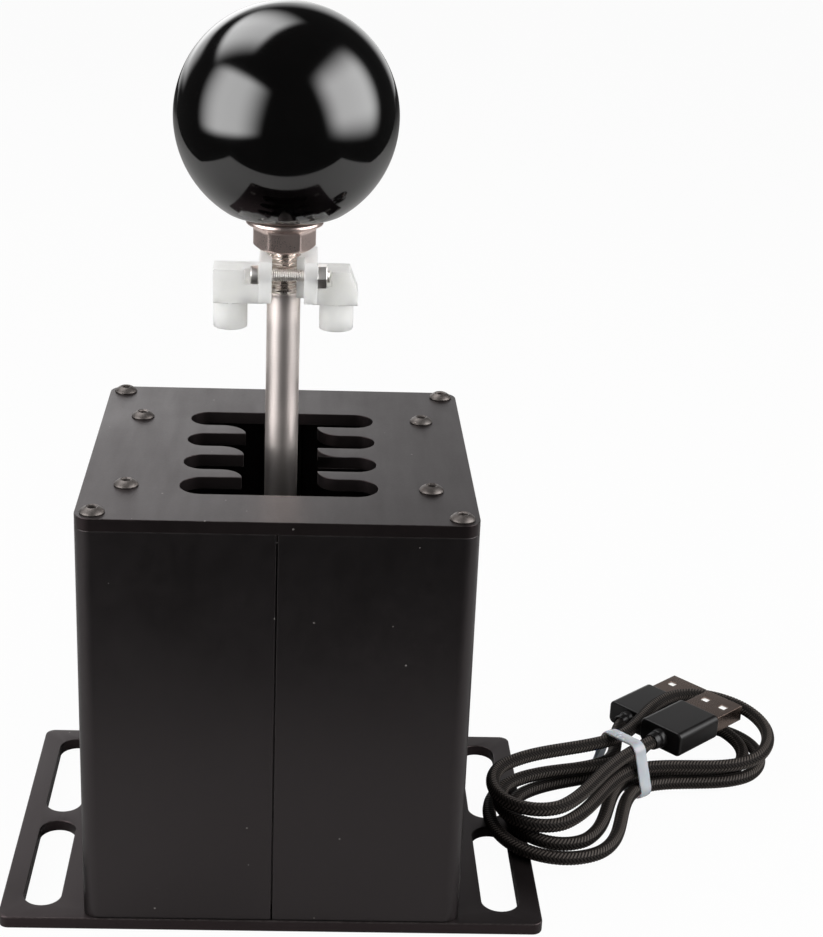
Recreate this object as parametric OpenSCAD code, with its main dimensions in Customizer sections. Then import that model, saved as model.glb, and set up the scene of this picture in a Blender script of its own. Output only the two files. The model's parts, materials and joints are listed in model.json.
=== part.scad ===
// Gated gear shifter for a driving simulator: a square housing with a slotted gate on top,
// a lever on a two-axis cradle inside, and a coiled lead with a plug at each end.
// Millimetres, +Z up, +Y away from the driver. The origin is the centre of the base plate's underside.

/* [Base plate] */
// Width of the base plate's flange on each side of the housing
flange_w = 20.2; // [16:0.1:30]
// Margin of the base plate in front of and behind the housing
base_lip = 0.5; // [0:0.1:5]
// Thickness of the base plate
base_t = 3; // [2:0.5:5]
// Radius of the base plate's corners
base_corner = 2.5; // [1:0.5:10]
// Width of each mounting slot
slot_w = 9; // [6:0.5:12]
// Distance from the base plate's side edge to the middle of a slot
slot_edge = 9.6; // [8:0.1:14]
// Distance from the base plate's front or rear edge to the end of a slot
slot_end = 5.45; // [4:0.05:15]
// Width of the bridge between the front and rear slots
slot_bridge = 4.7; // [3:0.1:10]

/* [Housing] */
// Width and depth of the square housing
housing_w = 90; // [80:1:110]
// Height of the housing between the two plates
housing_h = 100; // [80:1:130]
// Thickness of the housing walls
wall = 2; // [1.5:0.5:4]
// Outer radius of the housing's upright corners
corner_r = 4; // [3:0.5:8]
// Gap between the two halves of the housing
seam = 0.4; // [0.2:0.1:1]
// Diameter of the screw bosses in the corners
boss_d = 7.6; // [6:0.2:10]
// Depth of the screw holes in the bosses
boss_hole_l = 12; // [6:1:20]

/* [Gate] */
// Thickness of the gate plate
plate_t = 3; // [2:0.5:5]
// Distance from one lane to the next
lane_pitch = 15.1; // [13:0.1:17]
// Distance from the centre line to the end of a lane
lane_reach = 22.8; // [20:0.1:26]
// Half the width of the channel that joins the lanes
channel_half = 8.8; // [7:0.1:12]
// Distance of the gate's centre from the housing's centre, front to rear
gate_y = -1.2; // [-5:0.1:5]
// Gap on each side of the lever rod in a lane
lane_clear = 0.37; // [0.2:0.01:1]

/* [Screws] */
// Shank diameter of the plate and base screws
screw_d = 3; // [2:0.5:4]
// Length of the plate screws under the head
screw_l = 10; // [6:1:16]
// Diameter of a plate screw's head
head_d = 5.7; // [4:0.1:7]
// Height of a plate screw's head
head_h = 1.65; // [1:0.05:3]
// Width across flats of the head's hexagon socket
socket_af = 2; // [1.5:0.5:3]
// Clearance between a screw and its hole, on the radius
screw_clear = 0.15; // [0.05:0.05:0.4]
// Distance of the inner plate screws from the plate's side edge
inner_screw_edge = 10; // [9:0.5:13]
// Distance of the inner plate screws from the gate's centre, front to rear
inner_screw_y = 23.2; // [18:0.1:26]
// Length of a base screw
base_screw_l = 10; // [6:1:14]
// Diameter of a base screw's countersunk head
base_head_d = 6; // [5:0.1:7]

/* [Lever] */
// Height of the lever's pivot
pivot_z = 27; // [26:0.5:30]
// Diameter of the lever rod
rod_d = 8; // [6:0.5:10]
// Height where the rod's thread starts
thread_z = 144.2; // [130:0.1:150]
// Diameter of the threaded part of the rod
thread_d = 7.8; // [6:0.1:10]
// Height of the underside of the flange nut
nut_z = 154.5; // [150:0.1:158]
// Height of the flange nut
nut_h = 8; // [6:0.5:10]
// Width across flats of the flange nut
nut_af = 13; // [10:0.5:17]
// Diameter of the nut's flange
nut_flange_d = 18.3; // [15:0.1:22]
// Diameter of the ball knob
ball_d = 52; // [40:0.5:60]
// Diameter of the flat under the ball knob
ball_flat_d = 24.5; // [14:0.5:28]
// Swing of the lever to each side in a lane, in degrees
shift_angle = 12; // [8:0.5:12]

/* [Lever collar] */
// Height of the collar's screw
collar_screw_z = 149.3; // [148.8:0.1:149.6]
// Distance of the collar's screw in front of the rod's axis
collar_screw_y = 5.6; // [5.5:0.1:6]
// Diameter of the collar's screw
collar_screw_d = 2.4; // [2:0.1:2.6]
// Height of the underside of the collar's arms
collar_arm_z = 141.8; // [140:0.1:143]
// Height of the top of the collar's arms
arm_top_z = 149.9; // [149:0.1:150.5]
// Height of the underside of the collar's clamp blocks
collar_block_z = 143.1; // [142:0.1:144]
// Height of the top of the collar's clamp blocks
collar_top_z = 153.1; // [152.6:0.1:153.5]
// Distance from the rod's axis to the front of the clamp blocks
collar_front = 8.2; // [8:0.1:9]
// Distance from the rod's axis to the back of the clamp blocks
collar_rear = 7; // [6.5:0.1:8]
// Distance of the two legs from the centre line
leg_x = 12.6; // [12:0.1:16]
// Diameter of the two legs and depth of the arms
leg_d = 8.1; // [6:0.1:8.4]
// Height of the foot of the legs
leg_z = 135.2; // [130:0.1:139]

/* [Cradle] */
// Distance from the inner faces of the brackets to their screws
bracket_reach = 8; // [7:0.5:9]
// Thickness of the brackets
bracket_t = 4; // [3:0.5:6]
// Diameter of the trunnions and the lever pin
pin_d = 6; // [5:0.5:8]
// Outer diameter of the bushes
bush_d = 9; // [8:0.5:11]
// Running clearance of a pin in its bush, on the radius
run_clear = 0.05; // [0.02:0.01:0.1]
// Clearance of a fixed piece in its seat, on the radius
seat_clear = 0.02; // [0.01:0.01:0.1]
// Room for a return spring between the cradle and a bracket
spring_room = 6.5; // [6:0.5:8]
// Half the inner depth of the cradle, front to rear
cradle_in_y = 10.5; // [10.3:0.1:12]
// Thickness of the cradle's walls
cradle_t = 5; // [4:0.5:6]
// Half the height of the cradle
cradle_half_h = 8; // [6:0.5:9]
// Gap between the lever hub and the cradle, left and right
hub_play = 4.5; // [3.5:0.5:6]
// Half the depth of the lever hub, front to rear
hub_y = 10; // [8:0.1:10]
// Height of the hub's top above the pivot
hub_top = 18; // [17:0.5:20]
// Height of the detent plungers above the pivot
detent_r = 15; // [14:0.5:15.5]
// Diameter of the detent plungers
plunger_d = 4; // [3:0.5:5]
// Wire diameter of the return springs
spring_wire = 1; // [0.8:0.1:1.2]
// Mean diameter of the return springs
spring_d = 10; // [9:0.5:11]

/* [Controller] */
// Height of the board's underside
board_z = 7; // [5:0.5:8]
// Thickness of the board
board_t = 1.6; // [1:0.2:2]
// Distance from the board's right edge to the middle of the USB socket
usb_edge = 8; // [7:0.5:12]
// Width of the USB socket
usb_w = 13.2; // [12.8:0.1:15]
// Height of the USB socket
usb_h = 6.8; // [6:0.1:8]
// Wall thickness of the USB socket
usb_wall = 0.5; // [0.3:0.1:1]

/* [Cable] */
// Diameter of the braided cable
cord_d = 3.6; // [3:0.1:4]
// Distance of the hank's waist to the right of the centre line
hank_x = 95; // [94:0.5:100]
// Distance of the hank's waist behind the centre line
hank_y = 23; // [20:0.5:30]
// Turn of the hank away from the left-right line, in degrees
hank_turn = 34; // [30:1:40]
// Distance from the middle of the waist to its innermost strands
hank_core = 0.1; // [0:0.1:0.5]
// Sideways step from one loop to the next
hank_step = 4.7; // [4.6:0.1:5.2]
// Length of the straight runs to the left loops
left_reach = 30; // [28:0.5:32]
// Extra length of the runs to the upper left loops
upper_reach = 4; // [2:0.5:6]
// Widening of the first left loop
left_flare = 12; // [11.5:0.1:13]
// Loss of widening with each half turn
left_taper = 0.75; // [0.6:0.05:0.8]
// Widening of the top left loop
top_flare = 5; // [4:0.5:6]
// Bend of the left loops towards the driver
left_bend = -0.002; // [-0.003:0.0001:0]
// Sideways place of the lower left loops
lower_shift = -5; // [-6:0.5:-3]
// Sideways place of the middle left loop
middle_shift = -1; // [-2:0.5:0]
// Sideways place of the top left loop
top_shift = 1; // [0:0.5:2]
// Length of the straight runs to the right loops
right_reach = 30; // [28:0.5:32]
// Widening of the right loops
right_flare = 10.7; // [10:0.1:11]
// Length of the straight runs to the loose loop
loose_reach = 31; // [29:0.5:34]
// Widening of the loose loop
loose_flare = 12; // [11:0.5:13]
// Bend of the loose loop away from the driver
loose_bend = 0.0008; // [0:0.0001:0.002]
// Sideways place of the loose loop
loose_shift = -2; // [-3:0.5:-1]
// Rise of the loose loop above its layer
loose_rise = 3.2; // [2.5:0.1:5]
// Height from one layer of loops to the next
layer_step = 4.2; // [4.1:0.1:4.6]
// Turn of the plugs from the line of the hank, in degrees
plug_turn = 8; // [6:0.5:10]
// Length of a plug's moulded body
plug_l = 17; // [14:0.5:20]
// Width of a plug's moulded body
plug_w = 14; // [12.6:0.1:15]
// Thickness of a plug's moulded body
plug_h = 7; // [5.5:0.1:7]
// Length of a plug's metal shell
shell_l = 12; // [10:0.5:13]
// Width of the tie round the hank
tie_w = 3.2; // [2:0.1:5]
// Thickness of the tie
tie_t = 0.8; // [0.5:0.1:1]

/* [Hidden] */
$fn = 48;

over = 1;
base_w = housing_w + 2 * flange_w;
base_d = housing_w + 2 * base_lip;
slot_l = (base_d - slot_bridge) / 2 - slot_end;
slot_gap_x = base_w - 2 * slot_edge;
slot_gap_y = slot_l + slot_bridge;
inner_screw_x = housing_w / 2 - inner_screw_edge;
bracket_x = inner_screw_x - bracket_reach;
cradle_in_x = bracket_x - spring_room - cradle_t;
hub_x = cradle_in_x - hub_play;
plate_z = base_t + housing_h;
top_z = plate_z + plate_t;
inset = housing_w / 2 - corner_r;
inner_half = housing_w / 2 - wall;
screw_hole_d = screw_d + 2 * screw_clear;
corner_points = [for (x = [-1, 1], y = [-1, 1]) [x * inset, y * inset]];
inner_points = [for (x = [-1, 1], y = [-1, 1]) [x * inner_screw_x, gate_y + y * inner_screw_y]];

// The lever stands upright in the second lane from the rear, over its pivot.
lane_rise = plate_z + plate_t / 2 - pivot_z;
lever_y = gate_y + lane_pitch / 2;
lane_ys = [for (i = [0 : 3]) gate_y + (1.5 - i) * lane_pitch];
lane_tilts = [for (y = lane_ys) atan(abs(y - lever_y) / lane_rise)];
lane_ws = [for (a = lane_tilts) rod_d / cos(a) + plate_t * tan(a) + 2 * lane_clear];

hub_floor = -7;
tail_half = 5;
tail_floor = -13;
magnet_h = 3;
rod_seat = 6;
rod_in_knob = 12;
rod_foot = pivot_z + rod_seat;
rod_top = nut_z + nut_h + rod_in_knob;
ball_z = nut_z + nut_h + sqrt(pow(ball_d / 2, 2) - pow(ball_flat_d / 2, 2));

collar_left_x = -5.8;
collar_left_in = -2.8;
collar_right_in = 4.8;
collar_right_x = 7.9;
collar_nut_l = 2.2;
collar_nut_af = 5.2;

flange_t = 4;
flange_x = 12;
bracket_margin = 5.8;
bracket_half_y = inner_screw_y + bracket_margin;
bracket_foot = 9;
bracket_waist = 13;
bracket_shoulder_z = pivot_z + bracket_waist;
bracket_shoulder_drop = 15;
ear_x = 6;
ear_top = hub_top + 1;
trunnion_end = bracket_x + bracket_t + 2;
bush_flange_d = 12;
bush_flange_t = 1;
nose_gap = 0.3;

board_top = board_z + board_t;
usb_window_clear = 0.5;
board_margin_x = 13;
board_half_x = inner_half - board_margin_x;
board_reach = 28.35;
board_front = lever_y - board_reach;
usb_x = board_half_x - usb_edge;
board_margin_y = 2;
board_rear = inner_half - board_margin_y;
standoff_inset = 5;
standoff_rear_inset = 17;
standoff_points = [for (x = [-1, 1], y = [board_front + standoff_inset, board_rear - standoff_rear_inset])
                   [x * (board_half_x - standoff_inset), y]];
standoff_d = 6;
standoff_floor = 0.5;
board_screw_d = 2.4;
board_screw_head_d = 4.4;
board_screw_head_h = 1.4;
board_screw_reach = 2.5;
processor_w = 9;
sensor_w = 4;
driver_w = 5;
regulator_w = 6.5;
chip_h = 1.2;
usb_depth = 14.3;
usb_back = 2;
usb_mouth = housing_w / 2 + 0.3;

// Walks of the cable: each half turn runs out from the waist, round an end loop and back.
run_steps = 5;
arc_steps = 12;
turn_steps = 2 * run_steps + arc_steps;
half_turns = 7;
hank_reversal = 3.5;
middle_turn = 4;
loose_turn = 5;
top_turn = 6;
middle_climb = 3.15;
middle_climb_span = 0.7;
upper_climb = 5.4;
upper_climb_span = 0.5;
plug_climb = 6.5;
plug_climb_span = 0.5;
floor_gap = 0.3;
slope_start = base_w / 2 + 2.8;
slope_end = 128;
rear_plug_u = 23;
rear_plug_v = 23.4;
rear_plug_z = plug_h / 2 + 0.4;
front_plug_u = 11;
front_plug_v = -1.3;
front_plug_z = 13.3;
tail_straight = 2;
tie_gap = 0.3;
shell_w = 12;
shell_h = 4.5;
shell_wall = 0.4;
window = 2.2;

function ease(x) = let (c = min(1, max(0, x))) c * c * (3 - 2 * c);
function blend(a, b, s) = a + (b - a) * s;
function unit(p) = p / norm(p);

function strand_half(t) = hank_core + hank_step / 2 * abs(t - hank_reversal);
function is_left(i) = i % 2 == 0;
function left_run(i) = i < middle_turn ? left_reach : left_reach + upper_reach;
function turn_reach(i) = is_left(i) ? left_run(i) : i == loose_turn ? loose_reach : right_reach;
function left_width(i) = i == top_turn ? top_flare : left_flare - left_taper * i;
function turn_flare(i) = is_left(i) ? left_width(i) : i == loose_turn ? loose_flare : right_flare;
function turn_bend(i) = is_left(i) ? left_bend : i == loose_turn ? loose_bend : 0;
function left_place(i) = i == top_turn ? top_shift : i == middle_turn ? middle_shift : lower_shift;
function turn_shift(i) = is_left(i) ? left_place(i) : i == loose_turn ? loose_shift : 0;
function rear_line(u) = rear_plug_v + tan(plug_turn) * (u - rear_plug_u);
function front_line(u) = front_plug_v + tan(plug_turn) * (u - front_plug_u);

// A point of half turn i after k steps: along the hank, across it, and the count of half turns.
function turn_point(i, k) =
    let (t = i + k / turn_steps)
    let (side = is_left(i) ? -1 : 1)
    let (s = min(1, k / run_steps, (turn_steps - k) / run_steps))
    let (a = 180 * min(1, max(0, (k - run_steps) / arc_steps)))
    let (r = strand_half(t) + turn_flare(i) * ease(s))
    let (u = side * (turn_reach(i) * s + r * sin(a)))
    let (v = -side * r * cos(a) + turn_bend(i) * u * u + turn_shift(i) * ease(s))
    let (last_run = i == half_turns - 1 && k > run_steps + arc_steps)
    [u, last_run ? blend(front_line(u), v, ease(s)) : v, t];

function hank_plan(u, v) = [hank_x + u * cos(hank_turn) - v * sin(hank_turn),
                            hank_y + u * sin(hank_turn) + v * cos(hank_turn)];
function floor_height(x) =
    base_t * min(1, max(0, (slope_end - x) / (slope_end - slope_start))) + cord_d / 2 + floor_gap;
function strand_height(t, x) =
    let (middle = layer_step * ease((t - middle_climb) / middle_climb_span))
    let (upper = layer_step * ease((t - upper_climb) / upper_climb_span))
    let (loose = t > loose_turn && t < loose_turn + 1 ? loose_rise * pow(sin(180 * (t - loose_turn)), 2) : 0)
    blend(floor_height(x) + middle + upper + loose, front_plug_z, ease((t - plug_climb) / plug_climb_span));

function rear_tail(u) =
    let (s = ease(u / (rear_plug_u - tail_straight)))
    let (p = hank_plan(u, blend(strand_half(0), rear_line(u), s)))
    [p.x, p.y, blend(floor_height(p.x), rear_plug_z, s)];
function strand(q) =
    let (p = hank_plan(q.x, q.y))
    [p.x, p.y, strand_height(q.z, p.x)];
function front_tail(u) =
    let (p = hank_plan(u, front_line(u)))
    [p.x, p.y, front_plug_z];

cord_path = concat(
    [for (u = [rear_plug_u, rear_plug_u - tail_straight / 2]) rear_tail(u)],
    [for (k = [6 : -1 : 1]) rear_tail((rear_plug_u - tail_straight) * k / 6)],
    [for (i = [0 : half_turns - 1], k = [0 : turn_steps - 1]) strand(turn_point(i, k))],
    [for (u = [0, front_plug_u / 2, front_plug_u]) front_tail(u)]);

cord_n = len(cord_path);
cord_apart = 4 * cord_d;
function cord_stride(i) = i + 1 < cord_n ? norm(cord_path[i + 1] - cord_path[i]) : 0;
cord_length = [for (i = 0, l = 0; i < cord_n; l = l + cord_stride(i), i = i + 1) l];
cord_gap = min([for (i = [0 : cord_n - 2], j = [i + 1 : cord_n - 1])
                if (cord_length[j] - cord_length[i] > cord_apart) norm(cord_path[j] - cord_path[i])]) - cord_d;
echo("least gap of the cable to itself", cord_gap, "cable length", cord_length[cord_n - 1]);

// Block with rounded upright corners, centred on the origin and standing on it.
module rounded_block(w, d, h, r) {
    translate([r - w / 2, -d / 2, 0]) cube([w - 2 * r, d, h]);
    translate([-w / 2, r - d / 2, 0]) cube([w, d - 2 * r, h]);
    for (x = [-1, 1], y = [-1, 1])
        translate([x * (w / 2 - r), y * (d / 2 - r), 0]) cylinder(h = h, r = r);
}

// Cylinder along X, from x = 0.
module rod_x(l, d) {
    rotate([0, 90, 0]) cylinder(h = l, d = d);
}

// Cylinder along Y, from y = 0.
module rod_y(l, d) {
    rotate([-90, 0, 0]) cylinder(h = l, d = d);
}

// Tube of six sides along a list of points.
module tube(path, d) {
    n = len(path);
    sides = 6;
    points = [for (i = [0 : n - 1])
              let (t = unit(path[min(i + 1, n - 1)] - path[max(i - 1, 0)]))
              let (s = unit(cross(t, [0, 0, 1])))
              let (w = cross(s, t))
              for (j = [0 : sides - 1])
              path[i] + d / 2 * (cos(360 * j / sides) * s + sin(360 * j / sides) * w)];
    walls = [for (i = [0 : n - 2], j = [0 : sides - 1])
             let (a = i * sides + j, b = i * sides + (j + 1) % sides)
             each [[a, a + sides, b + sides], [a, b + sides, b]]];
    ends = [[for (j = [0 : sides - 1]) j], [for (j = [sides - 1 : -1 : 0]) (n - 1) * sides + j]];
    polyhedron(points, concat(walls, ends));
}

module base_plate() {
    color("#2b2b2d") difference() {
        rounded_block(base_w, base_d, base_t, base_corner);
        for (x = [-1, 1], y = [-1, 1]) translate([x * slot_gap_x / 2, y * slot_gap_y / 2, -over]) {
            translate([-slot_w / 2, -(slot_l - slot_w) / 2, 0])
                cube([slot_w, slot_l - slot_w, base_t + 2 * over]);
            for (e = [-1, 1]) translate([0, e * (slot_l - slot_w) / 2, 0])
                cylinder(h = base_t + 2 * over, d = slot_w);
        }
        for (p = corner_points) translate([p.x, p.y, 0]) {
            translate([0, 0, -over]) cylinder(h = base_t + 2 * over, d = screw_hole_d);
            translate([0, 0, -0.01])
                cylinder(h = base_head_d / 2, d1 = base_head_d + 2 * screw_clear, d2 = 2 * screw_clear);
        }
    }
}

module half_housing(side) {
    difference() {
        intersection() {
            union() {
                difference() {
                    rounded_block(housing_w, housing_w, housing_h, corner_r);
                    translate([0, 0, -over])
                        rounded_block(2 * inner_half, 2 * inner_half, housing_h + 2 * over, corner_r - wall);
                }
                for (p = corner_points) translate(p) cylinder(h = housing_h, d = boss_d);
            }
            translate([side > 0 ? seam / 2 : -housing_w - seam / 2, -housing_w, -over])
                cube([housing_w, 2 * housing_w, housing_h + 2 * over]);
        }
        for (p = corner_points, z = [-over, housing_h - boss_hole_l])
            translate([p.x, p.y, z]) cylinder(h = boss_hole_l + over, d = screw_hole_d);
    }
}

// A tongue on each wall of this half lies behind the seam.
module left_shell() {
    tongue_t = 1.2;
    tongue_half = 5;
    tongue_gap = 0.3;
    tongue_end = 3;
    color("#242426") translate([0, 0, base_t]) {
        half_housing(-1);
        for (y = [-1, 1]) {
            translate([-tongue_half, y * (inner_half - tongue_gap - tongue_t / 2) - tongue_t / 2, tongue_end])
                cube([2 * tongue_half, tongue_t, housing_h - 2 * tongue_end]);
            translate([-tongue_half, y * (inner_half - tongue_gap / 2) - tongue_gap, tongue_end])
                cube([tongue_half - over, 2 * tongue_gap, housing_h - 2 * tongue_end]);
        }
    }
}

module right_shell() {
    color("#242426") difference() {
        translate([0, 0, base_t]) half_housing(1);
        translate([usb_x - usb_w / 2 - usb_window_clear, inner_half - over, board_top - usb_window_clear])
            cube([usb_w + 2 * usb_window_clear, wall + 2 * over, usb_h + 2 * usb_window_clear]);
    }
}

// Land between lane i and the next one: its nose is rounded on one side of the gate and mirrored
// front to rear on the other.
module land_rounding(i, side) {
    front = lane_ys[i + 1] + lane_ws[i + 1] / 2;
    rear = lane_ys[i] - lane_ws[i] / 2;
    r = rear - front;
    x0 = side < 0 ? -channel_half - r : channel_half;
    difference() {
        translate([x0, front, 0]) cube([r, r, plate_t + 2 * over]);
        translate([side * (channel_half + r), side < 0 ? front : rear, -over])
            cylinder(h = plate_t + 4 * over, r = r);
    }
}

module gate_opening() {
    rear = lane_ys[0] + lane_ws[0] / 2;
    front = lane_ys[3] - lane_ws[3] / 2;
    translate([-channel_half, front, 0]) cube([2 * channel_half, rear - front, plate_t + 2 * over]);
    for (i = [0 : 3]) {
        half = lane_reach - lane_ws[i] / 2;
        translate([-half, lane_ys[i] - lane_ws[i] / 2, 0]) cube([2 * half, lane_ws[i], plate_t + 2 * over]);
        for (x = [-half, half]) translate([x, lane_ys[i], 0]) cylinder(h = plate_t + 2 * over, d = lane_ws[i]);
    }
    for (i = [0 : 2], side = [-1, 1]) land_rounding(i, side);
}

module gate_plate() {
    color("#3a3a3b") translate([0, 0, plate_z]) difference() {
        rounded_block(housing_w, housing_w, plate_t, corner_r);
        translate([0, 0, -over]) gate_opening();
        for (p = concat(corner_points, inner_points))
            translate([p.x, p.y, -over]) cylinder(h = plate_t + 2 * over, d = screw_hole_d);
    }
}

module button_screw() {
    difference() {
        rotate_extrude() polygon([[0, -screw_l], [screw_d / 2, -screw_l], [screw_d / 2, 0],
                                  [head_d / 2, 0], [head_d / 2, 0.3], [head_d * 0.4, head_h * 0.7],
                                  [head_d * 0.24, head_h], [0, head_h]]);
        translate([0, 0, head_h - 1]) cylinder(h = 2, d = socket_af / cos(30), $fn = 6);
    }
}

module plate_screws() {
    color("#202022") for (p = concat(corner_points, inner_points)) translate([p.x, p.y, top_z]) button_screw();
}

module base_screws() {
    head_drop = 0.1;
    color("#202022") for (p = corner_points) translate([p.x, p.y, head_drop]) difference() {
        rotate_extrude() polygon([[0, 0], [base_head_d / 2, 0], [screw_d / 2, (base_head_d - screw_d) / 2],
                                  [screw_d / 2, base_screw_l], [0, base_screw_l]]);
        translate([0, 0, -over]) cylinder(h = over + 1, d = socket_af / cos(30), $fn = 6);
    }
}

// Hangs under the gate plate and carries one end of the cradle.
module bracket(side) {
    x0 = side > 0 ? bracket_x : -bracket_x - bracket_t;
    flange_x0 = side > 0 ? bracket_x : -bracket_x - flange_x;
    difference() {
        union() {
            translate([flange_x0, gate_y - bracket_half_y, plate_z - flange_t])
                cube([flange_x, 2 * bracket_half_y, flange_t]);
            translate([x0, 0, 0]) rotate([90, 0, 90]) linear_extrude(bracket_t)
                polygon([[lever_y - bracket_foot, pivot_z - bracket_foot],
                         [lever_y + bracket_foot, pivot_z - bracket_foot],
                         [lever_y + bracket_foot, bracket_shoulder_z],
                         [gate_y + bracket_half_y, plate_z - bracket_shoulder_drop],
                         [gate_y + bracket_half_y, plate_z], [gate_y - bracket_half_y, plate_z],
                         [gate_y - bracket_half_y, plate_z - bracket_shoulder_drop],
                         [lever_y - bracket_foot, bracket_shoulder_z]]);
        }
        translate([x0 - over, lever_y, pivot_z]) rod_x(bracket_t + 2 * over, bush_d + 2 * seat_clear);
        for (y = [-1, 1])
            translate([side * inner_screw_x, gate_y + y * inner_screw_y, plate_z - flange_t - over])
            cylinder(h = flange_t + 2 * over, d = screw_hole_d);
    }
}

module left_bracket() {
    color("#8c8f94") bracket(-1);
}

module right_bracket() {
    color("#8c8f94") bracket(1);
}

module trunnion_bushes() {
    color("#b08d57") for (side = [-1, 1]) translate([0, lever_y, pivot_z]) rotate([0, 0, side > 0 ? 0 : 180])
        translate([bracket_x, 0, 0]) difference() {
            union() {
                rod_x(bracket_t, bush_d);
                translate([-bush_flange_t, 0, 0]) rod_x(bush_flange_t, bush_flange_d);
            }
            translate([-bush_flange_t - over, 0, 0]) rod_x(bracket_t + bush_flange_t + 2 * over, pin_d + 2 * run_clear);
        }
}

// One return spring round each trunnion, resting against the bush's flange.
module select_springs() {
    turns = 3;
    steps = 14;
    x0 = cradle_in_x + cradle_t + nose_gap + spring_wire / 2;
    x1 = bracket_x - bush_flange_t - spring_wire / 2;
    coil = [for (k = [0 : turns * steps]) let (a = 360 * k / steps)
            [spring_d / 2 * cos(a), spring_d / 2 * sin(a), blend(x0, x1, k / (turns * steps))]];
    color("#9a9da1") for (side = [-1, 1]) translate([0, lever_y, pivot_z]) rotate([0, side * 90, 0]) tube(coil, spring_wire);
}

module controller_board() {
    color("#1d4a2c") difference() {
        translate([-board_half_x, board_front, board_z])
            cube([2 * board_half_x, board_rear - board_front, board_t]);
        for (p = standoff_points) translate([p.x, p.y, board_z - over])
            cylinder(h = board_t + 2 * over, d = board_screw_d + 2 * screw_clear);
    }
}

module board_chips() {
    color("#18181a") {
        translate([-sensor_w / 2, lever_y - sensor_w / 2, board_top]) cube([sensor_w, sensor_w, chip_h]);
        translate([-board_half_x * 2 / 3, lever_y - 2 * processor_w, board_top]) cube([processor_w, processor_w, chip_h]);
        translate([-board_half_x / 4, lever_y - 4 * driver_w, board_top]) cube([driver_w, driver_w / 2, chip_h]);
        translate([board_half_x / 3, lever_y - 3 * regulator_w, board_top]) cube([regulator_w, regulator_w / 2, chip_h]);
    }
}

module board_standoffs() {
    color("#b08d57") for (p = standoff_points) translate([p.x, p.y, base_t]) difference() {
        cylinder(h = board_z - base_t, d = standoff_d);
        translate([0, 0, standoff_floor]) cylinder(h = board_z - base_t, d = board_screw_d + 2 * screw_clear);
    }
}

module board_screws() {
    color("#b9bbbe") for (p = standoff_points) translate([p.x, p.y, board_top]) {
        cylinder(h = board_screw_head_h, d = board_screw_head_d);
        translate([0, 0, -board_t - board_screw_reach]) cylinder(h = board_t + board_screw_reach, d = board_screw_d);
    }
}

module usb_socket() {
    color("#b9bbbe") translate([usb_x - usb_w / 2, usb_mouth - usb_depth, board_top]) difference() {
        cube([usb_w, usb_depth, usb_h]);
        translate([usb_wall, usb_back, usb_wall]) cube([usb_w - 2 * usb_wall, usb_depth, usb_h - 2 * usb_wall]);
    }
}

// Ring that turns on the trunnions and carries the lever pin.
module cradle_frame() {
    out_x = cradle_in_x + cradle_t;
    out_y = cradle_in_y + cradle_t;
    color("#6f7277") translate([0, lever_y, pivot_z]) difference() {
        union() {
            translate([-out_x, -out_y, -cradle_half_h]) cube([2 * out_x, 2 * out_y, 2 * cradle_half_h]);
            for (y = [-out_y, cradle_in_y]) translate([-ear_x, y, 0]) cube([2 * ear_x, cradle_t, ear_top]);
        }
        translate([-cradle_in_x, -cradle_in_y, -cradle_half_h - over])
            cube([2 * cradle_in_x, 2 * cradle_in_y, 2 * cradle_half_h + 2 * over]);
        translate([-out_x - over, 0, 0]) rod_x(2 * out_x + 2 * over, pin_d + 2 * seat_clear);
        translate([0, -out_y - over, 0]) rod_y(2 * out_y + 2 * over, pin_d + 2 * seat_clear);
        translate([0, -out_y - over, detent_r]) rod_y(2 * out_y + 2 * over, plunger_d + 2 * seat_clear);
    }
}

module trunnions() {
    color("#b9bbbe") translate([0, lever_y, pivot_z]) for (x = [-trunnion_end, cradle_in_x])
        translate([x, 0, 0]) rod_x(trunnion_end - cradle_in_x, pin_d);
}

module lever_pin() {
    half = cradle_in_y + cradle_t;
    color("#b9bbbe") translate([0, lever_y - half, pivot_z]) rod_y(2 * half, pin_d);
}

module detent_plungers() {
    nose = 0.2;
    l = cradle_t + 1.5;
    color("#c9a45c") translate([0, lever_y, pivot_z + detent_r]) for (a = [0, 180]) rotate([0, 0, a])
        translate([0, hub_y + nose_gap, 0]) {
            translate([0, nose, 0]) rod_y(l, plunger_d);
            rotate([-90, 0, 0]) cylinder(h = nose, d1 = plunger_d - 2 * nose, d2 = plunger_d);
        }
}

module lever_hub() {
    dimple_d = 2.8;
    dimple_l = 0.8;
    color("#4b4d52") translate([0, lever_y, pivot_z]) difference() {
        union() {
            translate([-hub_x, -hub_y, hub_floor]) cube([2 * hub_x, 2 * hub_y, hub_top - hub_floor]);
            translate([-tail_half, -tail_half, tail_floor]) cube([2 * tail_half, 2 * tail_half, hub_floor - tail_floor]);
        }
        translate([0, -hub_y - over, 0]) rod_y(2 * hub_y + 2 * over, bush_d + 2 * seat_clear);
        translate([0, 0, rod_foot - pivot_z]) cylinder(h = hub_top, d = rod_d + 2 * seat_clear);
        for (a = [-shift_angle, 0, shift_angle], y = [-1, 1])
            translate([detent_r * sin(a), y * hub_y, detent_r * cos(a)]) rotate([90 * y, 0, 0])
                translate([0, 0, -0.01]) cylinder(h = dimple_l, d1 = dimple_d, d2 = dimple_d - 2 * dimple_l);
    }
}

module hub_bushes() {
    l = 8;
    color("#b08d57") translate([0, lever_y, pivot_z]) for (y = [-hub_y, hub_y - l]) translate([0, y, 0]) difference() {
        rod_y(l, bush_d);
        translate([0, -over, 0]) rod_y(l + 2 * over, pin_d + 2 * run_clear);
    }
}

module tail_magnet() {
    color("#9a9da1") translate([0, lever_y, pivot_z + tail_floor - magnet_h]) cylinder(h = magnet_h, d = 6);
}

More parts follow.
